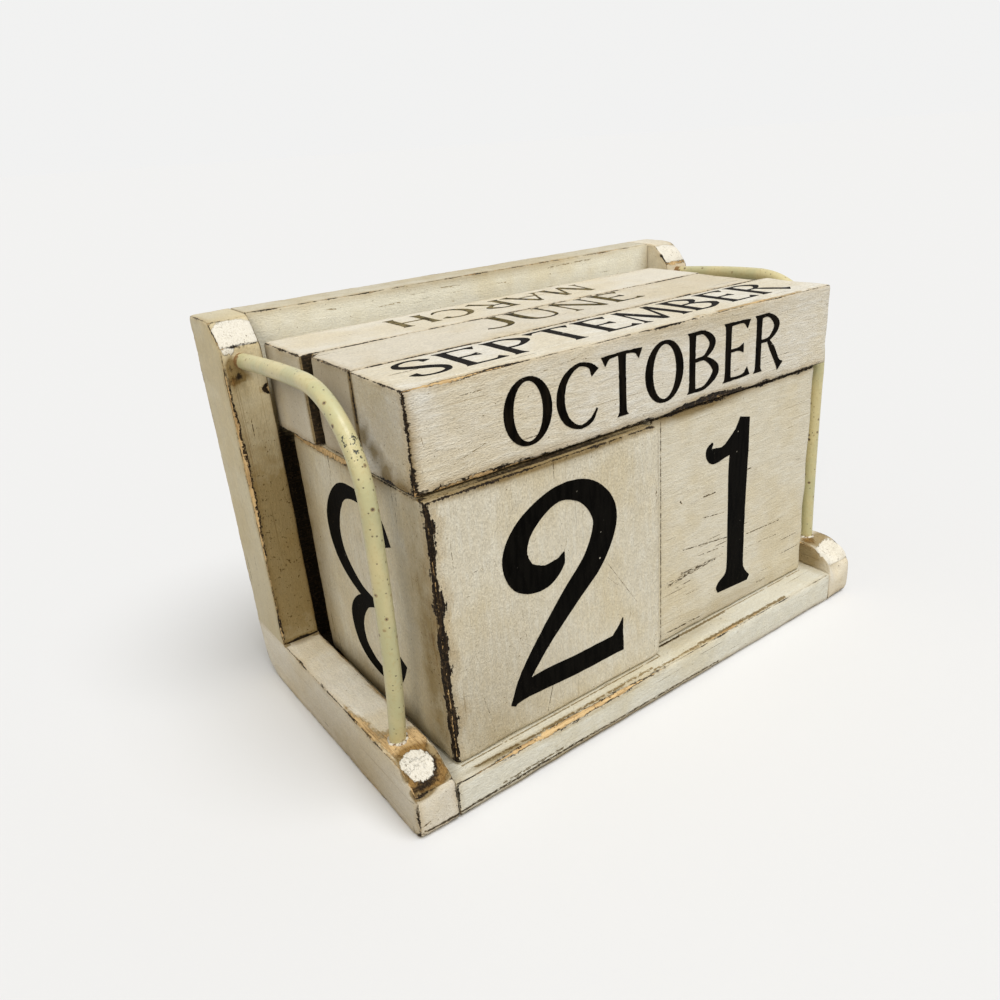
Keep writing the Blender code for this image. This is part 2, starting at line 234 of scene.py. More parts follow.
def finished(name, mesh, material, body, node=None):
    """A finished piece: its mesh with smooth shading, its finish, its body and its node."""
    data = bpy.data.meshes.new(name)
    mesh.to_mesh(data)
    mesh.free()
    data.shade_smooth()
    data.set_sharp_from_angle(angle=SMOOTH_ANGLE)
    data.materials.append(material)
    piece = bpy.data.objects.new(name, data)
    bpy.context.collection.objects.link(piece)
    if node:
        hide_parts(node)
    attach(piece, body)
    return piece


class Tone:
    """A value or colour that changes over a surface. Sums on it are done by shader nodes."""

    def __init__(self, socket):
        self.socket = socket
        self.tree = socket.id_data

    def sum(self, operation, other=0.0):
        return made(self.tree, "ShaderNodeMath", {0: self, 1: other}, operation=operation)

    def __add__(self, other):
        return self.sum("ADD", other)

    def __sub__(self, other):
        return self.sum("SUBTRACT", other)

    def __mul__(self, other):
        return self.sum("MULTIPLY", other)


def plug(node, inputs):
    """Link a shader node's inputs to tones, or set them to plain numbers and colours."""
    for key, value in inputs.items():
        if isinstance(value, Tone):
            node.id_data.links.new(value.socket, node.inputs[key])
        elif node.inputs[key].type == "RGBA":
            node.inputs[key].default_value = (*value, 1.0)
        else:
            node.inputs[key].default_value = value


def add(tree, kind, inputs, **settings):
    """Add a shader node with its settings and inputs."""
    node = tree.nodes.new(kind)
    for name, value in settings.items():
        setattr(node, name, value)
    plug(node, inputs)
    return node


def made(tree, kind, inputs, output=0, **settings):
    """The tone that a new shader node puts out."""
    return Tone(add(tree, kind, inputs, **settings).outputs[output])


def vector_sum(tree, operation, inputs, output=0):
    """The tone of one sum on places or colours."""
    return made(tree, "ShaderNodeVectorMath", inputs, output, operation=operation)


def painted_on(tree, layer):
    """The tone of a layer of wear that a mesh carries."""
    return made(tree, "ShaderNodeAttribute", {}, "Fac", attribute_name=layer)


def most(first, *others):
    """The greatest of several tones at each place."""
    for other in others:
        first = first.sum("MAXIMUM", other)
    return first


def fade(value, start, end):
    """A mask that rises smoothly from nought to one as a value goes from start to end."""
    limits = {"Value": value, "From Min": start, "From Max": end}
    return made(value.tree, "ShaderNodeMapRange", limits, interpolation_type="SMOOTHSTEP")


def over(mask, under, top):
    """Lay one colour over another where a mask shows it."""
    return made(mask.tree, "ShaderNodeMix", {0: mask, 6: under, 7: top}, 2, data_type="RGBA")


def cloud(place, stretch, detail, shift=0.0):
    """Noise between nought and one, of so many clouds to a millimetre along each axis."""
    inputs = {0: place, 1: stretch, 2: (shift, shift, shift)}
    scaled = vector_sum(place.tree, "MULTIPLY_ADD", inputs)
    inputs = {"Vector": scaled, "Scale": 1.0, "Detail": detail, "Roughness": 0.6}
    return made(place.tree, "ShaderNodeTexNoise", inputs)


def tinted(color, tint):
    """A colour multiplied by a tint."""
    return vector_sum(color.tree, "MULTIPLY", {0: color, 1: tint})


def make_chalk_paint():
    """The worn paint as a group: layers of paint, grime, painted shade and wood, in millimetres,
    with the grain of the wood along X."""
    group = bpy.data.node_groups.new("worn_chalk_paint", "ShaderNodeTree")
    taken = {"Place": "Vector"}
    taken.update((layer, "Float") for layer in LAYERS)
    taken.update({"Paint": "Color", "Brushed": "Float", "Chalky": "Float", "Scored_and_shaded": "Float"})
    put_out = {"Color": "Color", "Roughness": "Float", "Height": "Float"}
    for in_out, sockets in (("INPUT", taken), ("OUTPUT", put_out)):
        for name, kind in sockets.items():
            group.interface.new_socket(name, in_out=in_out, socket_type="NodeSocket" + kind)
    inputs = [Tone(socket) for socket in group.nodes.new("NodeGroupInput").outputs if socket.name]
    place, edge_gap, bare_width, grime_width, rub, soil, streaks, dabs = inputs[:8]
    paint, brushed, chalky, scratch_and_shade_lines = inputs[8:]

    coarse = cloud(place, (0.28, 0.28, 0.28), 3.0)
    fine = cloud(place, (1.5, 1.5, 1.5), 3.0, 7.0)
    fibre = cloud(place, (0.18, 2.4, 2.4), 3.0, 13.0)
    brush = cloud(place, (0.22, 1.15, 1.15), 4.0, 29.0)
    drift = cloud(place, (0.05, 0.05, 0.05), 3.0, 41.0)
    chalk = cloud(place, (1.7, 3.6, 3.6), 3.0, 53.0)
    grainy = (chalk - 0.5) * chalky

    # Paint: brushed out in ridges, whiter where it is thick and yellower where it is thin
    aged = tinted(paint, (0.95, 0.91, 0.82))
    color = over(fade(drift, 0.4, 0.64), paint, aged)
    thick = fade(brush, 0.44, 0.66) * brushed
    color = over(thick, color, tinted(color, (1.1, 1.14, 1.22)))
    shade = grainy * 0.6 + coarse * 0.2 + 0.9
    color = vector_sum(group, "SCALE", {0: color, "Scale": shade})

    # Specks, checks along the grain, and dark streaks where the brush skipped over it
    speck = fade(fine + soil.sum("MINIMUM", 2.0) * 0.05, 0.7, 0.74)
    check = fade(cloud(place, (0.025, 2.6, 2.6), 1.0, 67.0), 0.735, 0.765)
    dash = cloud(place, (0.045, 1.5, 1.5), 2.0, 83.0) + streaks * 0.2
    streak = fade(dash, 0.7, 0.75) * fade(fine, 0.4, 0.5)
    marks = most(speck * 0.6, check * 0.22, streak * 0.85, scratch_and_shade_lines)
    color = over(fade(marks, 0.0, 0.5), color, tinted(color, (0.52, 0.43, 0.29)))
    color = over(fade(marks, 0.4, 0.95), color, (0.032, 0.024, 0.016))

    # Wear at the edges, which breaks up along the grain, and a brown stain that leads up to it
    ragged = (coarse - 0.5) * 2.0 + (fine - 0.5) * 1.3 + (fibre - 0.5) * 1.6 + (chalk - 0.5) * 0.4
    width = bare_width + grime_width
    gap = edge_gap + ragged * (width * 0.55 + 0.4) + 0.2
    bare_edge = fade(bare_width - gap, -0.12, 0.12)
    held = fade(coarse + grime_width * 0.28, 0.47, 0.6)
    grime_edge = fade(width - gap, -0.16, 0.1) * held
    stain_edge = fade(width * 2.0 - gap, -1.2, 0.6) * coarse

    # Rubbed faces and dabs of white, whose rims follow the same clouds and fibres
    rubbing = coarse + fibre * 0.6 + fine * 0.35 - 0.5
    rubbed = rub - rubbing
    bare_rub = fade(rubbed, 0.0, 0.12)
    stain_rub = fade(rubbed, -0.28, 0.02) * 0.9
    white = fade(dabs - rubbing, -0.02, 0.12)
    stain = most(stain_edge * 0.9, stain_rub)
    color = over(stain, color, tinted(color, (0.66, 0.55, 0.38)))
    wood = over(fade(fibre, 0.34, 0.6), (0.4, 0.26, 0.12), (0.69, 0.5, 0.26))
    wood = over(fade(fine, 0.57, 0.7) * 0.6, wood, (0.13, 0.08, 0.038))
    color = over(bare_rub, color, wood)

    # Soil and painted shade: brown handling dirt, with painted shade in corners and gaps, black where
    # deep
    black_grime_and_shade = over(fade(fibre, 0.46, 0.72), (0.009, 0.006, 0.0035), (0.044, 0.027, 0.013))
    black_grime_and_shade = over(fade(fine, 0.52, 0.68) * 0.55, black_grime_and_shade, (0.12, 0.08, 0.042))
    dirt_and_shade = soil * (coarse + 0.45)
    color = over(dirt_and_shade, color, tinted(color, (0.42, 0.35, 0.23)))
    deep = fade(soil - ragged * 0.6, 1.8, 2.7)
    color = over(deep * 0.96, color, black_grime_and_shade)

    craze = (cloud(place, (0.22, 0.55, 0.55), 2.0, 97.0) - 0.5).sum("ABSOLUTE")
    craze = fade(craze, 0.012, 0.004) * fade(fine, 0.46, 0.58)
    dab = over(fade(chalk, 0.4, 0.72), (0.77, 0.745, 0.665), (0.64, 0.605, 0.515))
    dab = over(craze * 0.8, dab, (0.2, 0.16, 0.11))
    color = over(white, color, dab)
    color = over(grime_edge, color, black_grime_and_shade)
    color = over(bare_edge, color, wood)

    bare = most(bare_edge, bare_rub)
    worn = most(bare, grime_edge) - white
    ridges = brush * (brushed * 1.6)
    height = ridges - worn + fine * 0.5 + grainy - marks * 0.6 + fibre * 0.25
    rough = brush * 0.25 + 0.42 + bare * 0.12
    add(group, "NodeGroupOutput", {"Color": color, "Roughness": rough, "Height": height})
    return group


CHALK_PAINT = make_chalk_paint()
ALONG_WIDTH = (0, 0, 0)
ALONG_DEPTH = (0, 0, -math.pi / 2)
ALONG_HEIGHT = (0, math.pi / 2, 0)


def new_finish(name):
    """A new material, and the place on its piece in millimetres."""
    material = bpy.data.materials.new(name)
    material.use_nodes = True
    tree = material.node_tree
    surface = made(tree, "ShaderNodeTexCoord", {}, "Object")
    return material, vector_sum(tree, "SCALE", {0: surface, "Scale": 1 / MM})


def coated(material, inputs, height=None, depth=0.0):
    """Give a finish its colour, its gloss, and its relief of a depth in millimetres."""
    tree = material.node_tree
    if height:
        relief = {"Height": height, "Distance": depth * MM}
        inputs["Normal"] = made(tree, "ShaderNodeBump", relief)
    plug(tree.nodes["Principled BSDF"], inputs)
    return material


def scored_and_shaded(place, lines):
    """A mask of scratch marks, skips in the paint and lines of painted shadow: each runs from one
    place to another, has a width, is solid at one or broken up below it, and is black at one or brown
    below it."""
    tree = place.tree
    shake = cloud(place, (1.3, 1.3, 1.3), 4.0, 71.0)
    breaks = cloud(place, (0.7, 0.9, 3.4), 4.0, 19.0)
    total = 0.0
    for start, end, width, solid, dark in lines:
        along = Vector(end) - Vector(start)
        offset = vector_sum(tree, "SUBTRACT", {0: place, 1: start})
        share = vector_sum(tree, "DOT_PRODUCT", {0: offset, 1: along}, "Value")
        inputs = {0: share, 1: along.length_squared}
        share = made(tree, "ShaderNodeMath", inputs, operation="DIVIDE", use_clamp=True)
        reached = vector_sum(tree, "SCALE", {0: along, "Scale": share})
        away = vector_sum(tree, "DISTANCE", {0: offset, 1: reached}, "Value")
        mark = fade(away + shake * (width * 1.6), width * 1.5, width * 1.1)
        level = 0.56 - solid * 0.4
        mark = mark * fade(breaks, level, level + 0.07) * dark
        total = mark.sum("MAXIMUM", total)
    return total


def painted_wood(name, paint, grain, shift, brushed, chalky, lines=()):
    """A wooden piece's finish: the worn paint with the piece's own colour, grain, scratch marks and
    painted shadow lines.
    """
    material, place = new_finish(name)
    tree = place.tree
    mapping = {"Vector": place, "Location": (shift, shift, shift), "Rotation": grain}
    inputs = {layer: painted_on(tree, layer) for layer in LAYERS}
    inputs["Place"] = made(tree, "ShaderNodeMapping", mapping)
    inputs.update(Paint=paint, Brushed=brushed, Chalky=chalky)
    if lines:
        inputs["Scored_and_shaded"] = scored_and_shaded(place, lines)
    worn = add(tree, "ShaderNodeGroup", inputs, node_tree=CHALK_PAINT).outputs
    looks = {"Base Color": Tone(worn["Color"]), "Roughness": Tone(worn["Roughness"]),
             "Specular IOR Level": 0.1}
    return coated(material, looks, Tone(worn["Height"]), 0.17)


FRAME_CREAM = (0.7, 0.69, 0.6)
TOE_BEVEL = 0.8 * MM
HEEL_RADIUS = 8.0 * MM
SEAM_COVER = 0.25 * MM
FRAME_WEAR = (0.7, 0.05, 0.35)


def wooden_piece(node, name, finish, rules, patches, planing=(), heel=False, seam=False,
                 joints=(), usual=FRAME_WEAR, body="frame"):
    """A wooden piece from its node's box: sawn, planed, worn, painted and set on its body. It
    may have a rounded heel, and a seam below, where it stands on another piece. Its finish is
    its colour, how its grain lies, a shift of its own, how brushed and how chalky its paint is,
    and its scratch marks and lines of painted shadow."""
    low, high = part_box(node)
    if seam:
        low.z -= SEAM_COVER
    flats = box_flats(low, high)
    for flat, point, direction in planing:
        planed(flats, flat, point, direction)
    if heel:
        heel_flats(flats, high.y, HEEL_RADIUS)
        heel_rules(rules)
    mesh = sawn(low, high, flats)
    if seam:
        del flats["bottom"]
    refined(mesh, flats)
    weathered(mesh, flats, rules, usual, patches, joints)
    finished(name, mesh, painted_wood(node + "_paint", *finish), body, node)


base_rules = {
    "front top": (1.3, 0, 0.3),
    "front toe": (0.8, 0, 0.1),
    "toe bottom": (0.8, 0, 0.2),
    "left top": (0.2, 0, 0.25),
    "left front": (0.2, 0, 0.35),
    "right top": (0.1, 0, 0.05),
    "right front": (0.1, 0, 0.05),
}
base_patches = [
    ("bare front", (-31, -41, 9), (30, 4, 4), 1.3),
    ("bare top", (-31, -41, 9), (30, 4, 4), 1.7),
    ("rub top", (22, -40.4, 9), (34, 1, 2), 0.8),
    ("soil top", (-30, -39.4, 9), (34, 1.5, 2), 0.7),
    ("soil top", (-50, -39.6, 9), (16, 1.5, 2), 1.5),
    # Darker along the bottom of the front face and the toe: dirt, with painted shade where the toe
    # turns down
    ("soil front", (-24, -41, 0.6), (56, 2, 1.6), 1.5),
    ("soil toe", (-24, -41, 0.6), (56, 3, 3), 1.6),
    # Dark lines where the cubes stand: dirt, with painted shadow of the cubes
    ("soil top", (-30, -36.9, 9), (34, 1.2, 2), 1.6),
    ("soil top", (10, -34.2, 9), (26, 2, 2), 1.6),
    ("soil top", (36, -33.8, 9), (34, 1.2, 2), 1.5),
    # Painted shade: black in the corner by the left post, darker along the feet, behind the cubes and
    # in front of them
    ("soil top", (-60.5, 26, 9), (5, 12, 2), 8),
    ("soil top", (-62, 0, 9), (3, 60, 2), 1.5),
    ("soil top", (62, 0, 9), (3, 60, 2), 1.3),
    ("soil top", (0, 28, 9), (80, 8, 2), 1.3),
    ("soil top", (0, -37, 9), (400, 9, 3), 0.33),
]
base_lines = [
    # Painted shadow, with some dirt, along the feet of the cubes and the step between them
    ((-59.5, -37.1, 9.2), (-1, -37.1, 9.2), 0.36, 0.5, 0.56),
    ((-1, -36.6, 9.2), (-0.9, -34.2, 9.2), 0.34, 0.6, 0.6),
    ((0.5, -34.1, 9.2), (26, -34.1, 9.2), 0.8, 0.75, 0.62),
    ((1, -34.1, 9.2), (9, -34, 9.2), 0.6, 0.6, 0.9),
    ((26, -33.9, 9.2), (59, -33.9, 9.2), 0.34, 0.45, 0.5),
    ((-58, -39.2, 9.2), (-34, -39.7, 9.2), 0.6, 0.4, 0.58),
    ((-40, -39.4, 9.2), (-6, -39.4, 9.2), 0.7, 0.38, 0.52),
    ((-6, -40.2, 9.2), (14, -40.1, 9.2), 0.6, 0.45, 0.55),
    ((10, -39.9, 9.2), (44, -40.2, 9.2), 0.9, 0.5, 0.6),
    # Dark ragged lines low on the front face: dirt, with painted shade along the top of the toe
    ((-63, -41.2, 1.9), (-30, -41.2, 2.2), 0.6, 0.42, 0.85),
    ((-30, -41.2, 2.1), (16, -41.2, 1.7), 0.55, 0.36, 0.8),
    ((-52, -41.2, 2.9), (-36, -41.2, 3), 0.6, 0.28, 0.7),
]
base_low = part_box("base_board")[0]
base_toe = ("toe", (0, base_low.y + TOE_BEVEL, base_low.z), FRONT + DOWN)
base_finish = (FRAME_CREAM, ALONG_WIDTH, 3.0, 0.45, 0.9, base_lines)
wooden_piece("base_board", "shelf_board", base_finish, base_rules, base_patches, [base_toe],
             heel=True)

# The feet
# Side runners of the same stock, on edge. Their noses are chamfered and rubbed by hand, and
# each nose carries a thick dab of white paint in a ring of grime.

# Lighter than the board's cream, partly as painted light on the feet's tops, which the cubes shade
FOOT_CREAM_LIGHTENED = (0.75, 0.71, 0.61)
NOSE_DEPTH = 4.8 * MM
NOSE_HEIGHT = 4.3 * MM
ROD_INSET = 4.37 * MM
FOOT_HOLES = {"left": 13.6 * MM, "right": 12.4 * MM}
NOSE_SLOPE = FRONT * NOSE_HEIGHT + UP * NOSE_DEPTH
SIDES = (("left", "right", LEFT), ("right", "left", RIGHT))


def side_x(low, high, outward, inset=0.0):
    """How far along the left or right side of a piece is, or a line set in from it."""
    return (high.x if outward.x > 0 else low.x) - outward.x * inset


def front_lines(level, dark, rows):
    """Scratch marks, cracks and lines of painted shadow on a front face, each given by how far along
    and up it starts and ends, its width and how solid it is."""
    return [((x, level, z), (x_end, level, z_end), width, solid, dark)
            for x, z, x_end, z_end, width, solid in rows]


for side, inner, outer in SIDES:
    low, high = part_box(side + "_foot")
    planing = [("nose", (0, low.y + NOSE_DEPTH, high.z), NOSE_SLOPE),
               ("toe", (0, low.y + TOE_BEVEL, low.z), FRONT + DOWN)]
    rules = {
        f"{side} top": (0.7, 0.1, 0.28),
        f"{side} front": (1.6, 0.05, 0.45),
        f"{side} nose": (1.8, 0.3, 0.2),
        f"{side} toe": (1.2, 0.1, 0.5),
        f"{side} bottom": (0.8, 0.6, 0.2),
        f"{inner} top": (0.9, 0.3, 0.2),
        f"{inner} nose": (1.8, 0.3, 0.15),
        f"{inner} front": (0.3, 0, 0.4),
        f"{inner} toe": (0.3, 0, 0.4),
        "nose top": (3, 0, 0),
        "nose front": (1.8, 0, 0.3),
        "front toe": (1, 0.05, 0.3),
        "toe bottom": (1, 0.1, 0.5),
        "back top": (0.1, 0, 0),
    }
    middle = (low + high) / 2 / MM
    top = high.z / MM
    hole_x = side_x(low, high, outer, ROD_INSET) / MM
    hole_y = (low.y + FOOT_HOLES[side]) / MM
    nose_x = middle.x + outer.x * 0.7
    nose_y = (low.y + NOSE_DEPTH) / MM
    edge_x = side_x(low, high, outer) / MM
    patches = [
        ("soil top", (middle.x, 22.9, top), (8, 1, 2), 4),
        # Painted shade: the outer side darker towards the bottom
        (f"soil {side}", (edge_x, -12, 2), (3, 54, 18), 0.75),
    ]
    if side == "left":
        patches += [
            ("soil front", (middle.x, -41, 4), (9, 3, 9), 0.15),
            ("rub top", (hole_x - outer.x * 0.5, hole_y - 2, top), (6.5, 8.2, 3), 1.6),
            ("rub top", (hole_x + outer.x * 3.6, hole_y + 9, top), (1.8, 15, 2), 0.95),
            ("rub top", (middle.x - outer.x * 4.5, hole_y + 12, top), (1.4, 22, 2), 0.8),
            ("rub nose", (middle.x, nose_y - 2, top - 2), (8, 6, 6), 1.2),
            ("soil top", (nose_x + 0.5, nose_y - 0.6, top), (6, 7.2, 7), 5),
            ("soil nose", (nose_x + 0.5, nose_y - 0.6, top), (6.2, 7.4, 7.2), 5.4),
            ("soil nose", (middle.x - 1.6, nose_y - 3.5, top - 3.2), (10, 2.9, 2.7), 3.1),
            ("soil front", (middle.x - 3.4, nose_y - 4.8, top - 4.2), (5, 2, 1.8), 4),
            ("white top", (nose_x, nose_y, top), (4.2, 5.4, 5.2), 2.4),
            ("white nose", (nose_x, nose_y, top), (4.2, 5.4, 5.2), 2.4),
        ]
    else:
        rules[f"{side} nose"] = (0.9, 0, 0)
        rules[f"{side} front"] = (0.7, 0, 0)
        rules[f"{side} toe"] = (1.8, 0, 0)
        rules[f"{inner} nose"] = (2, 0, 0)
        rules["nose front"] = (4.8, 0, 0)
        rules["nose top"] = (4.4, 0, 0)
        rules[f"{inner} front"] = (0.2, 0, 0.05)
        patches += [
            ("rub top", (hole_x - 2.5, hole_y - 2.5, top), (4, 4, 3), 0.9),
            ("soil top", (middle.x, hole_y - 3.5, top), (8, 4.5, 2), 1.9),
            (f"soil {inner}", (middle.x - 4.7, hole_y - 4, top - 3), (2, 9, 9), 1.8),
            ("white nose", (middle.x + 0.5, nose_y - 1.6, top - 1.6), (9, 7, 7), 1.9),
            ("white top", (middle.x + 1, nose_y - 1, top), (8, 5, 5), 1.6),
        ]
    scores_and_shade_lines = []
    if side == "left":
        # A dark line low on the front: dirt, with painted shade along the top of the toe
        scores_and_shade_lines += front_lines(low.y / MM, 0.85, [(-73, 1.9, -63.5, 1.7, 0.6, 0.6)])
        scores_and_shade_lines += front_lines(low.y / MM, 0.8, [(-72, 3.4, -70.4, 4, 0.4, 0.5)])
    post_low, post_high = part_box(side + "_post")
    finish = (FOOT_CREAM_LIGHTENED, ALONG_DEPTH, 11.0, 0.4, 1.0, scores_and_shade_lines)
    wooden_piece(side + "_foot", side + "_runner", finish, rules, patches, planing, heel=True,
                 joints=[(post_low / MM, post_high / MM)])

# The posts
# Uprights that stand on the back ends of the feet, flush with them outside. The front top
# corner is chamfered, and its chamfer carries thick white paint that is rubbed at its rim.

# The left post's cream is darker as painted shade, and the right post's lighter as painted light
POST_CREAM_AS_LIT = {"left": (0.665, 0.608, 0.445), "right": (0.74, 0.69, 0.57)}
CHAMFER_HEIGHT = 5.3 * MM
CHAMFER_DEPTH = 5.6 * MM
ROD_HOLE_HEIGHT = 87.5 * MM
CHAMFER_SLOPE = FRONT * CHAMFER_HEIGHT + UP * CHAMFER_DEPTH

for side, inner, outer in SIDES:
    low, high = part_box(side + "_post")
    planing = [("chamfer", (0, low.y + CHAMFER_DEPTH, high.z), CHAMFER_SLOPE)]
    rules = {
        f"{side} front": (0.9, 0.3, 0.3),
        f"{inner} front": (0.9, 0, 0.2),
        f"{side} chamfer": (1.4, 0.25, 0.3),
        f"{inner} chamfer": (1.2, 0, 0.3),
        "front chamfer": (1.2, 0, 0.6),
        "chamfer top": (1.6, 0, 0.12),
        f"{side} top": (1, 0.1, 0.3),
        f"{inner} top": (0.2, 0, 0.1),
        f"{side} back": (0.8, 0.2, 0.4),
        f"{inner} back": (0.1, 0, 0),
    }
    middle = (low + high) / 2 / MM
    front = low.y / MM
    hole_x = side_x(low, high, outer, ROD_INSET) / MM
    edge_x = side_x(low, high, outer) / MM
    inner_x = side_x(low, high, -outer) / MM
    patches = [
        ("bare front", (edge_x, front, 60), (3, 3, 30), 1.5),
        (f"bare {side}", (edge_x, front, 60), (3, 2, 30), 1),
        ("grime front", (edge_x, front, 62), (3, 3, 28), 1.2),
        ("white chamfer", (middle.x, front + 2.4, 93.2), (9, 5.6, 5.6), 2),
        ("soil front", (hole_x + outer.x * 2.2, front, 86.2), (1.8, 2, 3.2), 3.7),
        ("soil front", (hole_x + outer.x * 1.2, front, 84.3), (2.3, 2, 1.9), 3.5),
        ("soil front", (hole_x + outer.x * 2.4, front, 84), (2.4, 2, 4.2), 1.5),
        ("rub front", (hole_x + outer.x * 2.4, front, 83.4), (2, 2, 2.6), 0.8),
        ("grime front", (inner_x, front, 80.3), (4.2, 2, 1.5), 4.5),
        ("soil front", (middle.x, front, 15.3), (8, 2, 1.4), 5),
        ("soil top", (edge_x, 32, 96.2), (10, 20, 3), 0.35),
    ]
    if side == "left":
        patches += [
            ("white front", (hole_x + outer.x * 2.4, front, 90.6), (2.6, 2, 2.8), 1.1),
            # Painted shade: the left post's front, its outer side low down and its inner face darker,
            # in the shadow of the blocks
            ("soil front", (middle.x, front, 40), (30, 2, 48), 1.75),
            (f"soil {side}", (edge_x, front + 8, 15), (3, 26, 40), 0.25),
            (f"soil {inner}", (inner_x, front + 8, 50), (2, 60, 200), 1.7),
        ]
    else:
        rules["front chamfer"] = (3, 0.7, 0.1)
        rules["chamfer top"] = (4.4, 0, 0)
        rules[f"{inner} chamfer"] = (1, 0.05, 0.45)
        rules[f"{side} chamfer"] = (2.4, 0.25, 0)
    crack = front_lines(front, 0.95, [(low.x / MM, 15.8, high.x / MM, 15.8, 0.42, 0.9)])
    finish = (POST_CREAM_AS_LIT[side], ALONG_HEIGHT, 23.0, 0.35, 0.8, crack)
    wooden_piece(side + "_post", side + "_upright", finish, rules, patches, planing, seam=True)

# The back panel
# A high board between the posts, standing on the base board. Its face is a little greener
# than the rest, and its top edge is rubbed in dashes.

# Lightened, partly as painted light on the face, which the bars shade
PANEL_CREAM_LIGHTENED = (0.84, 0.825, 0.715)

panel_rules = {
    "front top": (0.9, 0.15, 0.25),
    "back top": (0.9, 0.25, 0.35),
    "left top": (0.2, 0, 0.1),
    "right top": (0.2, 0, 0.1),
    "left front": (0.2, 0, 0.3),
    "right front": (0.2, 0, 0.2),
    "left back": (0.2, 0, 0.2),
    "right back": (0.2, 0, 0.2),
}
panel_patches = [
    ("soil top", (0, 37, 96.2), (400, 40, 3), 0.72),
    ("soil front", (0, 31, 96.2), (90, 2, 3), 0.8),
    # Painted shade: darker low on the face behind the blocks, black by the left post and darker by
    # the right post
    ("soil front", (0, 31, 40), (400, 4, 42), 0.9),
    ("soil front", (-59.5, 31, 36), (5.5, 4, 48), 8),
    ("soil front", (63, 31, 46), (6, 4, 60), 2.4),
    ("streaks back", (10, 41, 50), (60, 4, 40), 0.35),
]
panel_lines = front_lines(31.2, 0.6, [
    (-44, 93.6, -41.5, 93.4, 0.3, 0.4),
    (24, 94.2, 40, 94.6, 0.34, 0.25),
])
panel_lines += front_lines(31.2, 0.5, [
    (-30, 92, -24, 92.2, 0.3, 0.3),
    (-12, 94, -6, 93.8, 0.3, 0.3),
    (6, 92.6, 9, 92.4, 0.3, 0.3),
])
panel_finish = (PANEL_CREAM_LIGHTENED, ALONG_WIDTH, 37.0, 0.15, 0.7, panel_lines)
wooden_piece("back_panel", "back_board", panel_finish, panel_rules, panel_patches, seam=True)

# The brads
# Bright wire brads, sunk and filled over, that hold the glued joints while they dry. They are
# never seen, and keep the shape that the model gives them.


def wire_steel():
    """Drawn steel wire: fine rings in its gloss and a faint brown film."""
    material, place = new_finish("brad_wire")
    drawn = cloud(place, (0.4, 4.0, 4.0), 2.0)
    film = over(fade(drawn, 0.45, 0.7), (0.45, 0.44, 0.43), (0.22, 0.15, 0.1))
    looks = {"Base Color": film, "Roughness": drawn * 0.3 + 0.25, "Metallic": 1.0}
    return coated(material, looks)


brad_wire = wire_steel()
for name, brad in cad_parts.items():
    if "brad" not in name:
        continue
    for brad_slot in brad.material_slots:
        brad_slot.material = brad_wire

# The side rods
# Steel rod bent by hand over a former, sprung into a hole in the post and one in the foot,
# and painted in gloss. Rust shows through in small ringed spots, and most at the post.


def scattered(place, scale):
    """Scattered spots: how far each place is from one, and a number for each to choose by."""
    inputs = {"Vector": place, "Scale": scale}
    spots = add(place.tree, "ShaderNodeTexVoronoi", inputs).outputs
    choice = made(place.tree, "ShaderNodeSeparateColor", {"Color": Tone(spots["Color"])})
    return Tone(spots["Distance"]), choice


def rod_enamel():
    """Cream yellow gloss paint, with rust spots, and scratches and rust where they are marked."""
    material, place = new_finish("rod_enamel")
    drift = cloud(place, (0.1, 0.1, 0.06), 3.0)
    fine = cloud(place, (1.4, 1.4, 1.1), 3.0, 19.0)
    color = over(fade(drift, 0.4, 0.62), (0.6, 0.535, 0.29), (0.5, 0.485, 0.27))
    color = over(fade(fine, 0.5, 0.72) * 0.35, color, (0.45, 0.36, 0.16))
    away = scattered(place, 0.34)[0] + fine * 0.16
    color = over(fade(away, 0.26, 0.21) * 0.75, color, (0.3, 0.21, 0.09))
    small, choice = scattered(place, 1.05)
    dust = fade(small + fine * 0.3, 0.38, 0.3) * fade(choice, 0.5, 0.6)
    pit = most(fade(away, 0.18, 0.15), dust * 0.75)
    color = over(pit, color, (0.09, 0.06, 0.03))
    scuffed = fade(painted_on(place.tree, "scuff") - fine, 0.0, 0.06)
    color = over(scuffed, color, (0.035, 0.036, 0.022))
    rusty = fade(painted_on(place.tree, "rust") - fine, -0.02, 0.1)
    color = over(rusty, color, (0.22, 0.115, 0.035))
    looks = {"Base Color": color, "Roughness": fine * 0.3 + 0.32 + rusty * 0.3,
             "Coat Weight": 0.25, "Coat Roughness": 0.2}
    return coated(material, looks, fine - pit * 0.8, 0.1)


def rod_mesh(node):
    """A rod from its node, its facets joined and its long runs ruled into short rings."""
    mesh = bmesh.new()
    mesh.from_mesh(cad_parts[node].data)
    bmesh.ops.remove_doubles(mesh, verts=mesh.verts, dist=0.01 * MM)
    bmesh.ops.join_triangles(mesh, faces=mesh.faces, angle_face_threshold=math.radians(35),
                             angle_shape_threshold=math.radians(60))
    long_edges = [edge for edge in mesh.edges if edge.calc_length() > LONGEST_FACET]
    bmesh.ops.subdivide_edges(mesh, edges=long_edges, cuts=RINGS_ALONG, use_grid_fill=True)
    return mesh


LONGEST_FACET = 4 * MM
RINGS_ALONG = 15
RUST_REACH = 4.0
SCUFF_REACH = 13.0
ROD_BEND_DEPTH = -30 * MM
ROD_BEND_HEIGHT = 81 * MM

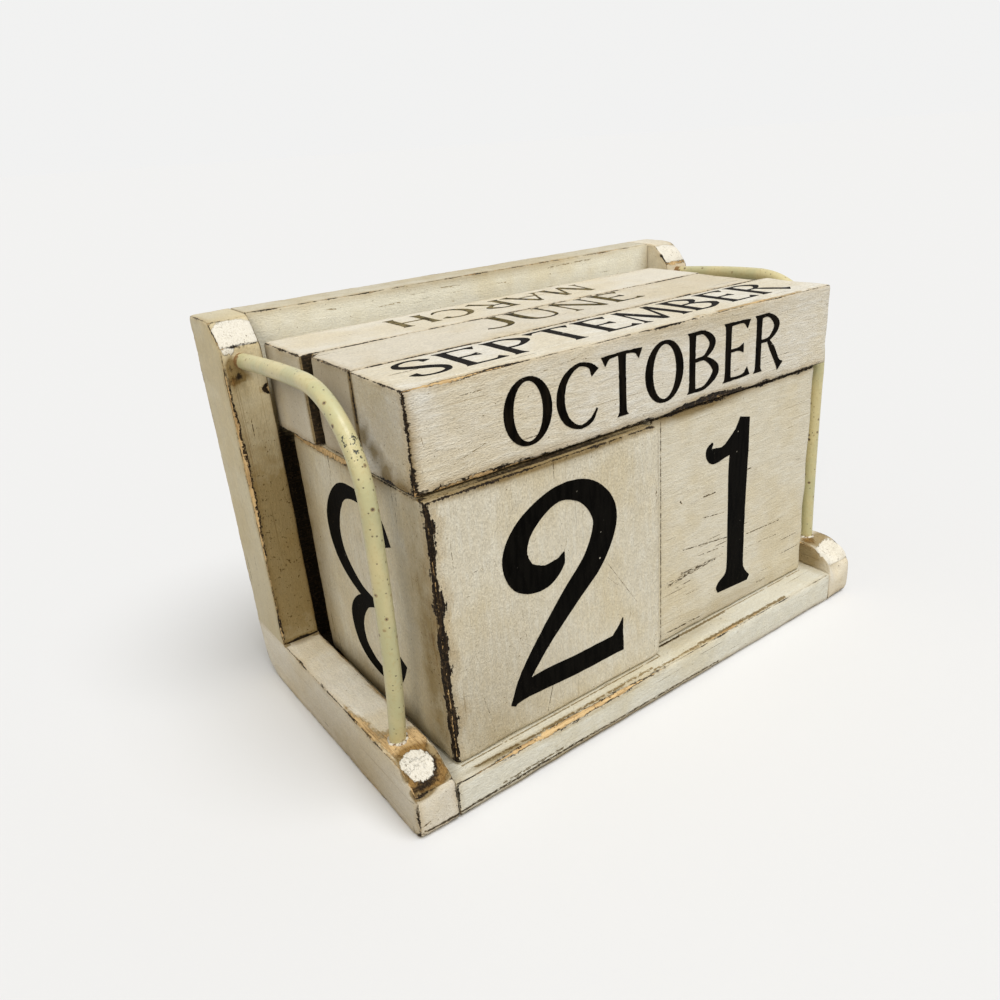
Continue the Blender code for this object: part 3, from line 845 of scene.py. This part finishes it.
rod_paint = rod_enamel()
for side in ("left", "right"):
    node = side + "_rod"
    mesh = rod_mesh(node)
    rust_layer = mesh.verts.layers.float.new("rust")
    scuff_layer = mesh.verts.layers.float.new("scuff")
    post_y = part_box(side + "_post")[0].y
    for vert in mesh.verts:
        from_post = (vert.co - Vector((vert.co.x, post_y, ROD_HOLE_HEIGHT))).length / MM
        vert[rust_layer] = max(1.1 - from_post / RUST_REACH, 0.0)
        bend = Vector((vert.co.x, ROD_BEND_DEPTH, ROD_BEND_HEIGHT))
        vert[scuff_layer] = max(0.61 - (vert.co - bend).length / MM / SCUFF_REACH, 0.0)
    rod = finished(side + "_bent_rod", mesh, rod_paint, "frame", node)
    rounding = rod.modifiers.new("rounding", "SUBSURF")
    rounding.levels = rounding.render_levels = 2

# The paint beads
# Where each rod enters its foot, the brush has left a crusty ring of white paint.


def paint_bead(name, centre, radius, thickness):
    """A lumpy ring of dried paint round a rod, flat where it sits on the wood."""
    mesh = bmesh.new()
    turn = Matrix.Translation(RIGHT * radius) @ Matrix.Rotation(math.pi / 2, 4, "X")
    bmesh.ops.create_circle(mesh, segments=10, radius=thickness, matrix=turn)
    bmesh.ops.spin(mesh, geom=mesh.verts[:] + mesh.edges[:], cent=(0, 0, 0), axis=UP,
                   angle=math.tau, steps=40, use_merge=True)
    for vert in mesh.verts:
        lump = noise.noise(vert.co / (0.9 * MM) + Vector(centre) / MM)
        vert.co += Vector((vert.co.x, vert.co.y, 0)).normalized() * lump * thickness * 0.9
        vert.co.z = max(vert.co.z * (1 + 0.9 * lump), -0.1 * MM)
    bmesh.ops.translate(mesh, verts=mesh.verts, vec=centre)
    bmesh.ops.recalc_face_normals(mesh, faces=mesh.faces)
    finished(name, mesh, bead_paint, "frame")


def crusty_white():
    """Thick white paint with grime in its pits."""
    material, place = new_finish("bead_paint")
    fine = cloud(place, (1.6, 1.6, 1.6), 3.0)
    color = over(fade(fine, 0.46, 0.62), (0.66, 0.635, 0.555), (0.2, 0.125, 0.06))
    return coated(material, {"Base Color": color, "Roughness": fine * 0.3 + 0.4}, fine, 0.2)


BEAD_RADIUS = 1.95 * MM
BEAD_THICKNESS = 0.34 * MM

bead_paint = crusty_white()
for side, inner, outer in SIDES:
    low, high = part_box(side + "_foot")
    centre = (side_x(low, high, outer, ROD_INSET), low.y + FOOT_HOLES[side], high.z)
    paint_bead(side + "_paint_bead", centre, BEAD_RADIUS, BEAD_THICKNESS)

# The day cubes
# Two loose cubes of softwood, cut with the grain on end in the first and level in the second.
# The first has lost the paint along its front left edge.

CUBE_CREAM = (0.685, 0.645, 0.525)
BLOCK_WEAR = (0.8, 0.05, 0.35)


def loose_block(node, name, finish, rules, patches, planing=()):
    """A loose block, riding on its own body."""
    wooden_piece(node, name, finish, rules, patches, planing, usual=BLOCK_WEAR, body=node)


tens_rules = {
    "front left": (2.6, 0.08, 1.5),
    "front top": (0.7, 0, 0.5),
    "front right": (0.7, 0, 0.12),
    "front bottom": (0.9, 0, 0.15),
    "left top": (1, 0, 0.35),
    "left bottom": (1, 0.05, 0.35),
    "right top": (4, 0, 0.3),
    "right bottom": (3.6, 0, 0.1),
}
tens_patches = [
    ("grime front", (-60.6, -37, 38), (4, 4, 20), 3),
    ("grime left", (-60.6, -37, 30), (4, 4, 40), 3.6),
    ("rub left", (-60.6, -34.4, 40), (2, 1.2, 12), 0.9),
    ("soil front", (-54, -37, 14), (34, 2, 34), 0.5),
    ("bare left", (-60.6, 8, 69.5), (3, 22, 3), 3.4),
    ("soil left", (-60.6, -32, 34), (2, 9, 60), 1.2),
    # Painted shade: the left face darker at the back by the post, and along the bottom
    ("soil left", (-60.6, 22, 40), (2, 10, 80), 0.9),
    ("soil left", (-60.6, -6, 9.5), (2, 40, 9), 0.8),
    ("soil left", (-60.6, -12, 69.5), (2, 20, 5), 1.2),
    # Painted shadow of the front bar along the top of the cube
    ("soil front", (-30, -37, 69.4), (40, 2, 1.8), 1.9),
    ("soil top", (-30, -34.7, 69.5), (60, 1.4, 3), 6),
    ("soil top", (-30, -36, 69.5), (60, 3, 3), 1.5),
]
tens_lines = front_lines(-36.9, 0.85, [
    (-17, 41, -8.5, 27.9, 0.13, 0.6),
    (-17.6, 38, -14.2, 34.4, 0.12, 0.5),
    (-34.1, 17.5, -36.2, 10.5, 0.16, 0.6),
    (-29.4, 47.6, -27.7, 52.2, 0.11, 0.6),
    (-52, 52, -46, 52.6, 0.11, 0.3),
    (-41, 40, -40.2, 30, 0.12, 0.2),
    (-52.6, 24, -50.8, 16, 0.12, 0.2),
])
tens_finish = (CUBE_CREAM, ALONG_HEIGHT, 5.0, 0.6, 1.3, tens_lines)
loose_block("tens_cube", "tens_block", tens_finish, tens_rules, tens_patches)

units_rules = {
    "front left": (0.6, 0, 0.3),
    "front top": (0.8, 0, 0.6),
    "front right": (1.2, 0, 0.1),
    "front bottom": (0.9, 0, 0.3),
}
units_patches = [
    ("streaks front", (16, -34, 29), (22, 2, 9), 0.35),
    ("streaks front", (40, -34, 29), (20, 2, 7), 0.25),
    ("soil front", (30, -34, 12), (34, 2, 4), 0.5),
    # Painted shadow of the front bar along the top of the cube
    ("soil front", (14, -34, 69), (24, 2, 2.4), 1.8),
    ("soil top", (30, -33.5, 69.5), (60, 3, 3), 4),
]
units_lines = front_lines(-33.8, 0.85, [
    # A line of painted shadow in the step beside the tens cube
    (2.7, 10, 2.7, 69, 0.25, 0.95),
    (4.5, 25, 25.2, 26.8, 0.65, 0.2),
    (10, 26.6, 20, 26.4, 0.8, 0.25),
    (8, 23.4, 15, 23.8, 0.3, 0.15),
    (10.5, 33.2, 26.7, 31.1, 0.26, 0.4),
    (16, 29.6, 25.5, 28.9, 0.22, 0.3),
    (34.5, 25.3, 47.3, 24.7, 0.2, 0.25),
    (34.2, 29.3, 48.2, 28.8, 0.26, 0.4),
    (17.5, 45.3, 21.7, 45.2, 0.36, 0.35),
    (17.6, 39.6, 25.2, 38.6, 0.28, 0.3),
    (32.5, 47.8, 35.3, 47.8, 0.3, 0.4),
    (9.3, 46.6, 9.8, 46, 0.34, 0.9),
    (40, 12.6, 43.5, 12.4, 0.4, 0.3),
    (3.5, 11.6, 17, 11.4, 0.42, 0.3),
])
units_finish = (CUBE_CREAM, ALONG_WIDTH, 47.0, 0.5, 0.8, units_lines)
loose_block("units_cube", "units_block", units_finish, units_rules, units_patches)

# The month bars
# Three loose bars of square stock, sawn to slightly different lengths, across the cubes. The
# middle one has a knocked corner at its left end.

BAR_CREAMS = {
    "front": (0.715, 0.68, 0.585),
    "middle": (0.655, 0.607, 0.5),
    "rear": (0.71, 0.67, 0.57),
}
KNOCKED_CORNER = 1.1 * MM

front_rules = {
    "front top": (0.8, 0.05, 0.26),
    "front left": (1.4, 0, 0.88),
    "left top": (0.8, 0, 0.4),
    "left bottom": (0.7, 0, 0.8),
    "front bottom": (0.5, 0, 0.55),
    "front right": (1.6, 0, 0.08),
    "right top": (1.6, 0, 0.1),
    "back top": (0.7, 0, 0.35),
    "back left": (0.8, 0, 0.6),
}
front_patches = [
    ("grime front", (18, -34.6, 70), (17, 3, 3), 3),
    ("bare front", (-46, -34.6, 70), (20, 3, 3), 0.9),
    ("bare front", (-50, -34.6, 90), (14, 3, 3), 0.8),
    ("bare top", (-50, -34.6, 90), (14, 3, 3), 0.6),
    ("rub top", (34, -34, 90), (32, 1.2, 3), 0.8),
    ("grime top", (-40, -34.6, 90), (9, 3, 3), 1.3),
    ("grime front", (4, -34.6, 90), (12, 3, 3), 0.9),
    # Painted shadow of the left rod, falling across the bar's end
    ("soil left", (-61, -17, 77.4), (2, 3.4, 3.4), 1.6),
    ("soil left", (-61, -21, 75), (2, 3.6, 3.2), 1.8),
    ("soil left", (-61, -24.5, 71), (2, 3.6, 4.4), 2),
    ("soil left", (-61, -30, 70), (2, 7, 5), 1.4),
    ("soil left", (-61, -14.7, 80), (2, 1.3, 40), 2.2),
    # Faint painted shadow of the rod over the bar's end
    ("soil left", (-61, -25, 82), (2, 16, 16), 0.33),
    ("soil front", (20, -34.6, 70), (40, 2, 3), 0.6),
    ("soil front", (-60.6, -34.6, 78), (1.6, 2, 16), 1),
    ("soil front", (20, -34.6, 88), (60, 2, 3), 0.3),
]
front_scratches = front_lines(-34.6, 0.6, [
    (-58.6, 84, -57.8, 79, 0.14, 0.3),
    (-52, 74, -44, 76.4, 0.16, 0.2),
    (-30, 87, -20, 88, 0.16, 0.2),
])
middle_rules = {
    "front top": (0.7, 0, 0.35),
    "back top": (0.7, 0, 0.3),
    "left top": (0.8, 0.05, 0.45),
    "left knock": (1.2, 0, 0.6),
    "back knock": (1.2, 0, 0.6),
    "front left": (0.7, 0, 0.45),
    "left bottom": (0.8, 0.1, 0.6),
}
middle_patches = [
    ("soil knock", (-60, 5.4, 80), (9, 9, 60), 9),
    ("soil left", (-60.7, 5.2, 80), (2, 1.2, 60), 3),
    ("soil left", (-60.7, -4, 80), (3, 16, 40), 0.65),
    ("soil left", (-60.7, -13.9, 80), (2, 1.4, 40), 2),
    ("white top", (-30, 5.6, 90), (26, 1.3, 2), 0.7),
]
rear_rules = {
    "front top": (0.7, 0, 0.35),
    "back top": (0.8, 0.05, 0.35),
    "left top": (0.8, 0.05, 0.45),
    "front left": (0.8, 0, 0.15),
    "left bottom": (0.8, 0.1, 0.6),
}
rear_patches = [
    ("soil front", (-60.4, 6.4, 80), (1.7, 2, 400), 9),
    ("soil left", (-62.2, 6.5, 80), (2, 0.9, 60), 1.2),
    ("soil left", (-62.2, 15, 80), (2, 14, 40), 0.35),
    ("soil left", (-62, 24, 80), (3, 6, 14), 0.8),
    ("soil back", (0, 26, 84), (60, 2, 7), 0.3),
]
middle_low, middle_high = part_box("middle_month_bar")
knock = (middle_low.x + KNOCKED_CORNER, middle_high.y, 0)
bars = [
    ("front", front_rules, front_patches, (), front_scratches, 59, 0.8),
    ("middle", middle_rules, middle_patches, [("knock", knock, LEFT + BACK)], (), 73, 0.3),
    ("rear", rear_rules, rear_patches, (), (), 97, 0.3),
]
for row, rules, patches, planing, lines, shift, brushed in bars:
    finish = (BAR_CREAMS[row], ALONG_WIDTH, shift, brushed, 1.2, lines)
    loose_block(row + "_month_bar", row + "_bar", finish, rules, patches, planing)

# The numerals and the month names
# Black paint, brushed on by hand over the cream. The numerals and the letters are plain ones
# with flared ends, drawn here stroke by stroke, each point with the width of the brush there.

# Widths of the brush, in hundredths of the height of a glyph
FLARE = 23
STEM = 14
HAIR = 6


def stem(x, foot=0, head=100):
    """An upright stroke that flares at both ends."""
    return [(x, foot, FLARE), (x, foot + 7, STEM * 1.1), (x, (foot + head) / 2, STEM),
            (x, head - 7, STEM * 1.1), (x, head, FLARE)]


def slant(x_foot, x_head, width, flare_foot, flare_head):
    """A straight slanting stroke from the baseline to the cap line."""
    lean = x_head - x_foot
    return [(x_foot, 0, flare_foot), (x_foot + lean * 0.08, 8, width),
            (x_foot + lean * 0.92, 92, width), (x_head, 100, flare_head)]


def arm(x_start, x_end, y, droop):
    """A level stroke whose end flares up or down."""
    return [(x_start, y, HAIR), (x_end - 14, y, HAIR), (x_end, y + droop, 17)]


def ring(x, y, x_reach, y_reach, side_width, top_width):
    """A round stroke that ends where it starts, thick at its sides and thin above and below."""
    turns = 24
    points = []
    for step in range(turns):
        angle = math.tau * step / turns
        width = top_width + (side_width - top_width) * abs(math.cos(angle)) ** 1.5
        points.append((x + x_reach * math.cos(angle), y + y_reach * math.sin(angle), width))
    return points + points[:1]


UPPER_BOWL = [(14, 96.5, HAIR), (40, 95.5, 7), (60, 76, 14.5), (42, 55.5, 7), (14, 53, HAIR)]
LOWER_BOWL = [(14, 53, HAIR), (44, 52, 7), (69, 28, 15.5), (44, 4.5, 7), (14, 3, HAIR)]
CRESCENT = [(74, 80, 17), (64, 92, 8), (42, 96.5, HAIR), (18, 80, 12), (9, 50, 15),
            (18, 20, 12), (42, 3.5, HAIR), (64, 9, 7), (76, 25, 3)]

# Each glyph: its width and its strokes, in hundredths of its height
GLYPHS = {
    "A": (84, slant(5, 42, HAIR, 18, 8), slant(78, 41, STEM, 25, 12), [(15, 34, HAIR),
        (68, 34, HAIR)]),
    "B": (78, stem(14), UPPER_BOWL, LOWER_BOWL),
    "C": (80, CRESCENT),
    "D": (84, stem(14), [(14, 96.5, HAIR), (44, 94, 8), (75, 50, 15.5), (44, 6, 8), (14, 3, HAIR)]),
    "E": (70, stem(14), arm(14, 64, 96.5, -6), arm(14, 52, 52, 0), arm(14, 66, 3.5, 6)),
    "F": (66, stem(14), arm(14, 64, 96.5, -6), arm(14, 52, 50, 0)),
    "G": (84, CRESCENT, stem(72, 5, 46)),
    "H": (84, stem(14), stem(70), [(14, 52, HAIR), (70, 52, HAIR)]),
    "I": (30, stem(15)),
    "J": (74, [(58, 100, FLARE), (58, 93, STEM), (58, 42, STEM), (54, 17, 12), (40, 4, 8),
        (22, 3, 6), (6, 10, 7)]),
    "L": (68, stem(14), arm(14, 66, 3.5, 6)),
    "M": (100, slant(6, 17, HAIR, 18, 12), slant(48, 18, STEM, 5, 14), slant(48, 79, HAIR, 5, 10),
        slant(90, 80, STEM, 24, 14)),
    "N": (86, [(13, 0, 18), (13, 8, HAIR), (13, 100, HAIR)], slant(73, 13, STEM, 6, 20),
        [(73, 0, HAIR), (73, 92, HAIR), (73, 100, 18)]),
    "O": (82, ring(41, 50, 33, 47, 16.5, HAIR)),
    "P": (72, stem(14), [(14, 96.5, HAIR), (42, 95.5, 7), (64, 72, 15), (42, 47.5, 7),
        (14, 45, HAIR)]),
    "R": (82, stem(14), UPPER_BOWL, [(36, 55, 5), (50, 36, 12), (66, 9, 12), (74, 0, 20)]),
    "S": (66, [(57, 80, 15), (50, 92, 7), (32, 96.5, HAIR), (14, 88, 9), (10, 73, 12), (24, 58, 14),
        (44, 45, 14.5), (57, 29, 13), (54, 12, 9), (34, 3.5, HAIR), (14, 8, 7), (7, 22, 15)]),
    "T": (80, stem(40), [(3, 91, 17), (16, 96.5, HAIR), (64, 96.5, HAIR), (77, 91, 17)]),
    "U": (84, [(15, 100, FLARE), (15, 92, STEM), (15, 36, STEM), (22, 12, 11), (42, 3.5, HAIR),
        (62, 12, HAIR), (69, 36, HAIR), (69, 92, HAIR), (69, 100, 18)]),
    "V": (80, slant(40, 6, STEM, 6, 25), slant(41, 74, HAIR, 4, 18)),
    "Y": (76, [(5, 100, 25), (9, 93, STEM), (37, 46, STEM)], [(71, 100, 18), (67, 93, HAIR),
        (38, 46, HAIR)], [(38, 50, STEM), (38, 8, STEM), (38, 0, FLARE)]),
    "0": (68, ring(34, 50, 26.5, 46.5, 14.5, 6.5)),
    "1": (50, [(29, 0, 25), (29.2, 3.5, 28), (30, 10, 15.5), (30.2, 16, 13.8), (29.8, 50, 14.3),
        (30.3, 84, 14.8), (33.7, 98.8, 8)], [(32.7, 95.5, 6), (24.5, 86.5, 9), (17.5, 83.5, 7),
        (10, 83.5, 8.5), (6.6, 87.2, 5), (9.2, 90.8, 1.2)]),
    "2": (70, [(35, 69.5, 0.6), (31.5, 64.5, 7), (22.5, 61.2, 12), (12, 65.5, 14), (8.5, 77, 13),
        (15.5, 89, 10), (33, 97.8, 7.5), (50, 93.5, 11.5), (59.5, 79, 14.5), (53, 61, 13.8),
        (37, 45.5, 11.8), (20.5, 29, 8.8), (8.5, 14.5, 7), (1.2, 3, 3)], [(2, 4.5, 3),
        (12, 8.5, 9.5), (40, 7.9, 10.8), (65.5, 8, 10.8)], [(64.8, 2.6, 8.8), (65.4, 11, 7.8),
        (67.4, 16, 3.8), (69.2, 21, 0.4)]),
    "3": (68, [(7, 78, 9), (14, 90, 8), (30, 96.5, 6), (48, 89, 11), (50.5, 74, 12.5),
        (38, 60, 7.5), (20, 55.5, 3)], [(24, 56.5, 3), (42, 54, 7.5), (58, 41, 12.5),
        (60, 24, 13.5), (46, 6, 8.5), (26, 3, 6), (11, 9, 8), (6, 20, 10)]),
    "4": (72, [(46, 99, 7), (4, 31, 6)], [(2, 29.5, 7), (56, 29.5, 7), (68, 29.5, 12)],
        [(46, 0, 26), (46, 7, 14.5), (46, 99, 13.5)]),
    "5": (68, [(14, 93.5, 11), (45, 93.5, 10), (60, 96.5, 5)], [(17, 93, 5), (12, 55, 5)],
        [(11, 56, 3), (32, 61, 7.5), (54, 50, 12), (60, 29, 13.5), (46, 7.5, 8.5), (26, 3, 6),
        (12, 9, 8), (7, 20, 10)]),
    "6": (68, [(58, 90, 9), (44, 96.5, 6.5), (22, 84, 8.5), (9, 56, 13), (11, 25, 13),
        (28, 4.5, 7.5), (48, 9, 9), (58.5, 28, 13), (52, 47, 10), (35, 55.5, 5.5), (15, 44, 3.5)]),
    "7": (66, [(4, 84, 6), (7, 93, 12), (36, 93.5, 12), (62, 95.5, 7)], [(60, 94, 7), (42, 58, 9),
        (30, 26, 12), (27, 0, 16)]),
    "8": (68, ring(34, 75.5, 18.5, 20.5, 11, 5.5), ring(34, 28.5, 24.5, 24.5, 13.5, 6)),
}
BRUSH_STEPS = 7
BRUSH_SHAKE = 0.09 * MM
TINY_PATCH = 1e-12
SAME_POINT = 1e-7
PAINT_SUNK = 0.16 * MM
PAINT_PROUD = 0.045 * MM


def brushed_path(points, closed):
    """A smooth line through a stroke's points, which never swings past them."""
    count = len(points)
    path = []
    for span in range(count if closed else count - 1):
        nearby = []
        for step in (-1, 0, 1, 2):
            index = span + step
            index = index % count if closed else min(max(index, 0), count - 1)
            nearby.append(Vector(points[index]))
        before, start, end, after = nearby
        reach = (end - start).length
        leaving = (end - before) * reach / ((end - start).length + (start - before).length)
        arriving = (after - start) * reach / ((after - end).length + (end - start).length)
        for step in range(BRUSH_STEPS):
            t = step / BRUSH_STEPS
            path.append(start * (2 * t ** 3 - 3 * t ** 2 + 1) + leaving * (t ** 3 - 2 * t ** 2 + t)
                        + end * (3 * t ** 2 - 2 * t ** 3) + arriving * (t ** 3 - t ** 2))
    if not closed:
        path.append(Vector(points[-1]))
    return path


def stroke_sides(path, closed, unit, seed):
    """The two sides of a stroke, in metres, with the small shake of a brush."""
    count = len(path)
    sides = []
    for index, here in enumerate(path):
        before = path[index - 1] if closed or index else here
        after = path[(index + 1) % count] if closed or index < count - 1 else here
        along = (after - before).to_2d().normalized()
        across = Vector((-along.y, along.x))
        pair = []
        for sign in (1, -1):
            shake = BRUSH_SHAKE * noise.noise(Vector((index * 0.9, sign * 5.0, seed)))
            offset = sign * (max(here.z, 0.0) * unit / 2 + shake)
            pair.append(here.to_2d() * unit + across * offset)
        sides.append(pair)
    return sides


def glyph_mesh(mesh, character, unit, stretch, seed, matrix):
    """One painted character, its strokes fused, laid on a face by a matrix."""
    width, *strokes = GLYPHS[character]
    points = []
    patches = []
    for number, stroke in enumerate(strokes):
        closed = stroke[0] == stroke[-1]
        path = brushed_path(stroke[:-1] if closed else stroke, closed)
        sides = stroke_sides(path, closed, unit, seed + number)
        first = len(points)
        count = len(sides)
        for pair in sides:
            points += [Vector((side.x * stretch, side.y)) for side in pair]
        for index in range(count if closed else count - 1):
            here = first + 2 * index
            there = first + 2 * ((index + 1) % count)
            for patch in ([here, here + 1, there + 1], [here, there + 1, there]):
                one, two, three = (points[corner] for corner in patch)
                turn = (two - one).cross(three - one)
                if abs(turn) > TINY_PATCH:
                    patches.append(patch if turn > 0 else patch[::-1])
    corners, _, faces, _, _, sources = geometry.delaunay_2d_cdt(points, [], patches, 0, SAME_POINT)
    verts = [mesh.verts.new((*corner, 0.0)) for corner in corners]
    flat = [mesh.faces.new([verts[index] for index in face])
            for face, source in zip(faces, sources) if source]
    loose = [vert for vert in verts if not vert.link_faces]
    bmesh.ops.delete(mesh, geom=loose, context="VERTS")
    lift = Vector((0, 0, PAINT_PROUD + PAINT_SUNK))
    grown = bmesh.ops.extrude_face_region(mesh, geom=flat, use_keep_orig=True)
    lifted = [item for item in grown["geom"] if isinstance(item, bmesh.types.BMVert)]
    bmesh.ops.translate(mesh, verts=lifted, vec=lift)
    whole = {vert for face in flat for vert in face.verts} | set(lifted)
    bmesh.ops.transform(mesh, verts=list(whole), matrix=matrix)
    return width * unit * stretch


def lettered(mesh, word, height, length, centre, reading, upward, seed):
    """Paint a word of a given length on a face: it reads along one direction and stands along
    another."""
    outward = reading.cross(upward)
    spacing = LETTER_SPACING if len(word) > 1 else 0.0
    unit = height / 100
    plain = sum(GLYPHS[character][0] for character in word) * unit
    stretch = (length - spacing * (len(word) - 1)) / plain
    corner = Vector(centre) - reading * length / 2 - upward * height / 2 - outward * PAINT_SUNK
    turn = Matrix((reading, upward, outward)).transposed().to_4x4()
    for character in word:
        matrix = Matrix.Translation(corner) @ turn
        advance = glyph_mesh(mesh, character, unit, stretch, seed, matrix)
        corner += reading * (advance + spacing)
        seed += 11


def black_paint(name, thin_tone_and_sheen):
    """Black brushed paint, with a tone where it is thin, flecked through to the cream. On the middle
    and rear bars that tone is lighter, partly as a painted sheen.
    """
    material, place = new_finish(name)
    fine = cloud(place, (1.3, 1.3, 1.3), 3.0, 3.0)
    brush = cloud(place, (0.9, 0.9, 0.15), 3.0, 31.0)
    black = over(fade(brush, 0.36, 0.62), (0.0012, 0.0011, 0.001), thin_tone_and_sheen)
    away, choice = scattered(place, 0.27)
    fleck = fade(away + fine * 0.14, 0.14, 0.11) * fade(choice, 0.6, 0.85)
    worn = most(fleck, fade(fine + brush * 0.5, 0.99, 1.08) * 0.35)
    color = over(worn, black, (0.5, 0.47, 0.39))
    looks = {"Base Color": color, "Roughness": brush * 0.3 + 0.4, "Specular IOR Level": 0.02,
             "Specular Tint": (1, 0.88, 0.66)}
    return coated(material, looks, brush + fine - worn, 0.06)


numeral_paint = black_paint("numeral_paint", (0.0042, 0.0038, 0.0032))
NUMERAL_HEIGHT = 47.5 * MM
NUMERAL_DROP = 0.3 * MM
LETTER_SPACING = 0.9 * MM
LETTER_PITCH = 12.1 * MM

# Each cube: its numerals on the front, left, back, right, top and bottom faces
cubes = [("tens_cube", "230145", 1.5 * MM), ("units_cube", "106278", -1.8 * MM)]
for node, numerals, shift in cubes:
    low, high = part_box(node)
    middle = (low + high) / 2
    half = (high - low) / 2
    mesh = bmesh.new()
    faces = [(FRONT, RIGHT, UP), (LEFT, BACK, DOWN), (BACK, LEFT, UP),
             (RIGHT, BACK, UP), (UP, RIGHT, BACK), (DOWN, RIGHT, FRONT)]
    for seed, (numeral, (outward, reading, upward)) in enumerate(zip(numerals, faces)):
        centre = middle + outward * half.x + reading * shift - upward * NUMERAL_DROP
        length = GLYPHS[numeral][0] * NUMERAL_HEIGHT / 100
        lettered(mesh, numeral, NUMERAL_HEIGHT, length, centre, reading, upward, seed * 31)
    finished(node + "_numerals", mesh, numeral_paint, node)

# Each bar: whether it lies end for end, the tone of its thin black (lighter on the middle and rear
# bars, partly a painted sheen), then its names on the front, top, back and bottom, each with its
# height and how far it stands off the middle, along and up the face, in millimetres
names = [
    ("front_month_bar", False, (0.008, 0.006, 0.004), [
        ("OCTOBER", 13.8, 1.2, 0), ("SEPTEMBER", 13, -1.6, 1.4),
        ("NOVEMBER", 13.4, 1, 0), ("DECEMBER", 13.4, 0, 0.5)]),
    ("middle_month_bar", False, (0.135, 0.104, 0.038), [
        ("MAY", 13.8, 0, 0), ("JUNE", 11.4, 1.9, 3),
        ("JULY", 13, 1, 0), ("AUGUST", 13.4, 2, 0.4)]),
    ("rear_month_bar", True, (0.205, 0.165, 0.078), [
        ("APRIL", 13.6, 1, 0), ("MARCH", 10.6, 2.9, -0.9),
        ("FEBRUARY", 13.2, -1, 0.3), ("JANUARY", 13.4, 1, 0)]),
]
for node, turned, thin_tone_and_sheen, words in names:
    low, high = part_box(node)
    middle = (low + high) / 2
    half = (high - low) / 2
    reading = LEFT if turned else RIGHT
    near = BACK if turned else FRONT
    mesh = bmesh.new()
    faces = [(near, UP), (UP, -near), (-near, DOWN), (DOWN, near)]
    for seed, ((word, tall, along, rise), (outward, upward)) in enumerate(zip(words, faces)):
        centre = middle + outward * half.y + reading * along * MM + upward * rise * MM
        length = LETTER_PITCH * len(word)
        lettered(mesh, word, tall * MM, length, centre, reading, upward, seed * 131)
    name_paint = black_paint(node + "_name_paint", thin_tone_and_sheen)
    finished(node + "_names", mesh, name_paint, node)

# The studio
# A plain pale floor that runs on to a background of the same tone, a broad soft light from
# above and in front with a weaker one from the left, and the photograph's own camera.

FLOOR_TONE = (0.748, 0.762, 0.78)
BOUNCE_TONE = (0.42, 0.41, 0.4)
BACKDROP_TONE = (0.885, 0.885, 0.88)
AMBIENT_TONE = (0.34, 0.34, 0.34)


def seen_directly(tree):
    """A mask of the rays that show the background itself: camera, gloss and glass."""
    path = tree.nodes.new("ShaderNodeLightPath").outputs
    return most(*(Tone(path[f"Is {ray} Ray"]) for ray in ("Camera", "Glossy", "Transmission")))


def pale_floor():
    """A matt pale floor that keeps the calendar's shadow and throws little light back up."""
    material = bpy.data.materials.new("pale_floor")
    material.use_nodes = True
    color = over(seen_directly(material.node_tree), BOUNCE_TONE, FLOOR_TONE)
    return coated(material, {"Base Color": color, "Roughness": 1.0, "Specular IOR Level": 0.0})


FLOOR_REACH = 40.0
floor_mesh = bmesh.new()
bmesh.ops.create_grid(floor_mesh, x_segments=1, y_segments=1, size=FLOOR_REACH)
floor_data = bpy.data.meshes.new("studio_floor")
floor_mesh.to_mesh(floor_data)
floor_mesh.free()
floor_data.materials.append(pale_floor())
studio_floor = bpy.data.objects.new("studio_floor", floor_data)
bpy.context.collection.objects.link(studio_floor)
studio_floor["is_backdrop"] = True


def soft_sun(name, toward, strength, spread, color):
    """A broad, even light from one direction."""
    light = bpy.data.lights.new(name, "SUN")
    light.energy = strength
    light.angle = math.radians(spread)
    light.color = color
    lamp = bpy.data.objects.new(name, light)
    lamp.rotation_euler = Vector(toward).to_track_quat("Z", "Y").to_euler()
    bpy.context.collection.objects.link(lamp)


soft_sun("key_light", (0.12, -0.39, 0.91), 2.2, 36, (0.99, 0.99, 1.0))
soft_sun("fill_light", (-0.6, -0.58, 0.56), 1.24, 24, (1.0, 0.875, 0.66))

world = bpy.data.worlds.new("studio_world")
bpy.context.scene.world = world
world.use_nodes = True
sky = world.node_tree
backdrop = over(seen_directly(sky), AMBIENT_TONE, BACKDROP_TONE)
plug(sky.nodes["Background"], {"Color": backdrop})

# The camera was found by fitting the calendar's corners to the photograph
CAMERA_PLACE = (-0.12416, -0.15802, 0.12799)
CAMERA_TURN = tuple(math.radians(angle) for angle in (65.97, 3.526, -37.751))
camera_data = bpy.data.cameras.new("photo_camera")
camera_data.lens = 29.65
camera_data.sensor_width = 36.0
camera_data.shift_x = -0.0364
camera_data.shift_y = 0.0051
camera_data.clip_start = 0.005
camera = bpy.data.objects.new("photo_camera", camera_data)
camera.location = CAMERA_PLACE
camera.rotation_euler = Euler(CAMERA_TURN, "XYZ")
bpy.context.collection.objects.link(camera)
bpy.context.scene.camera = camera
bpy.context.scene.view_settings.view_transform = "Standard"

low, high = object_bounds()
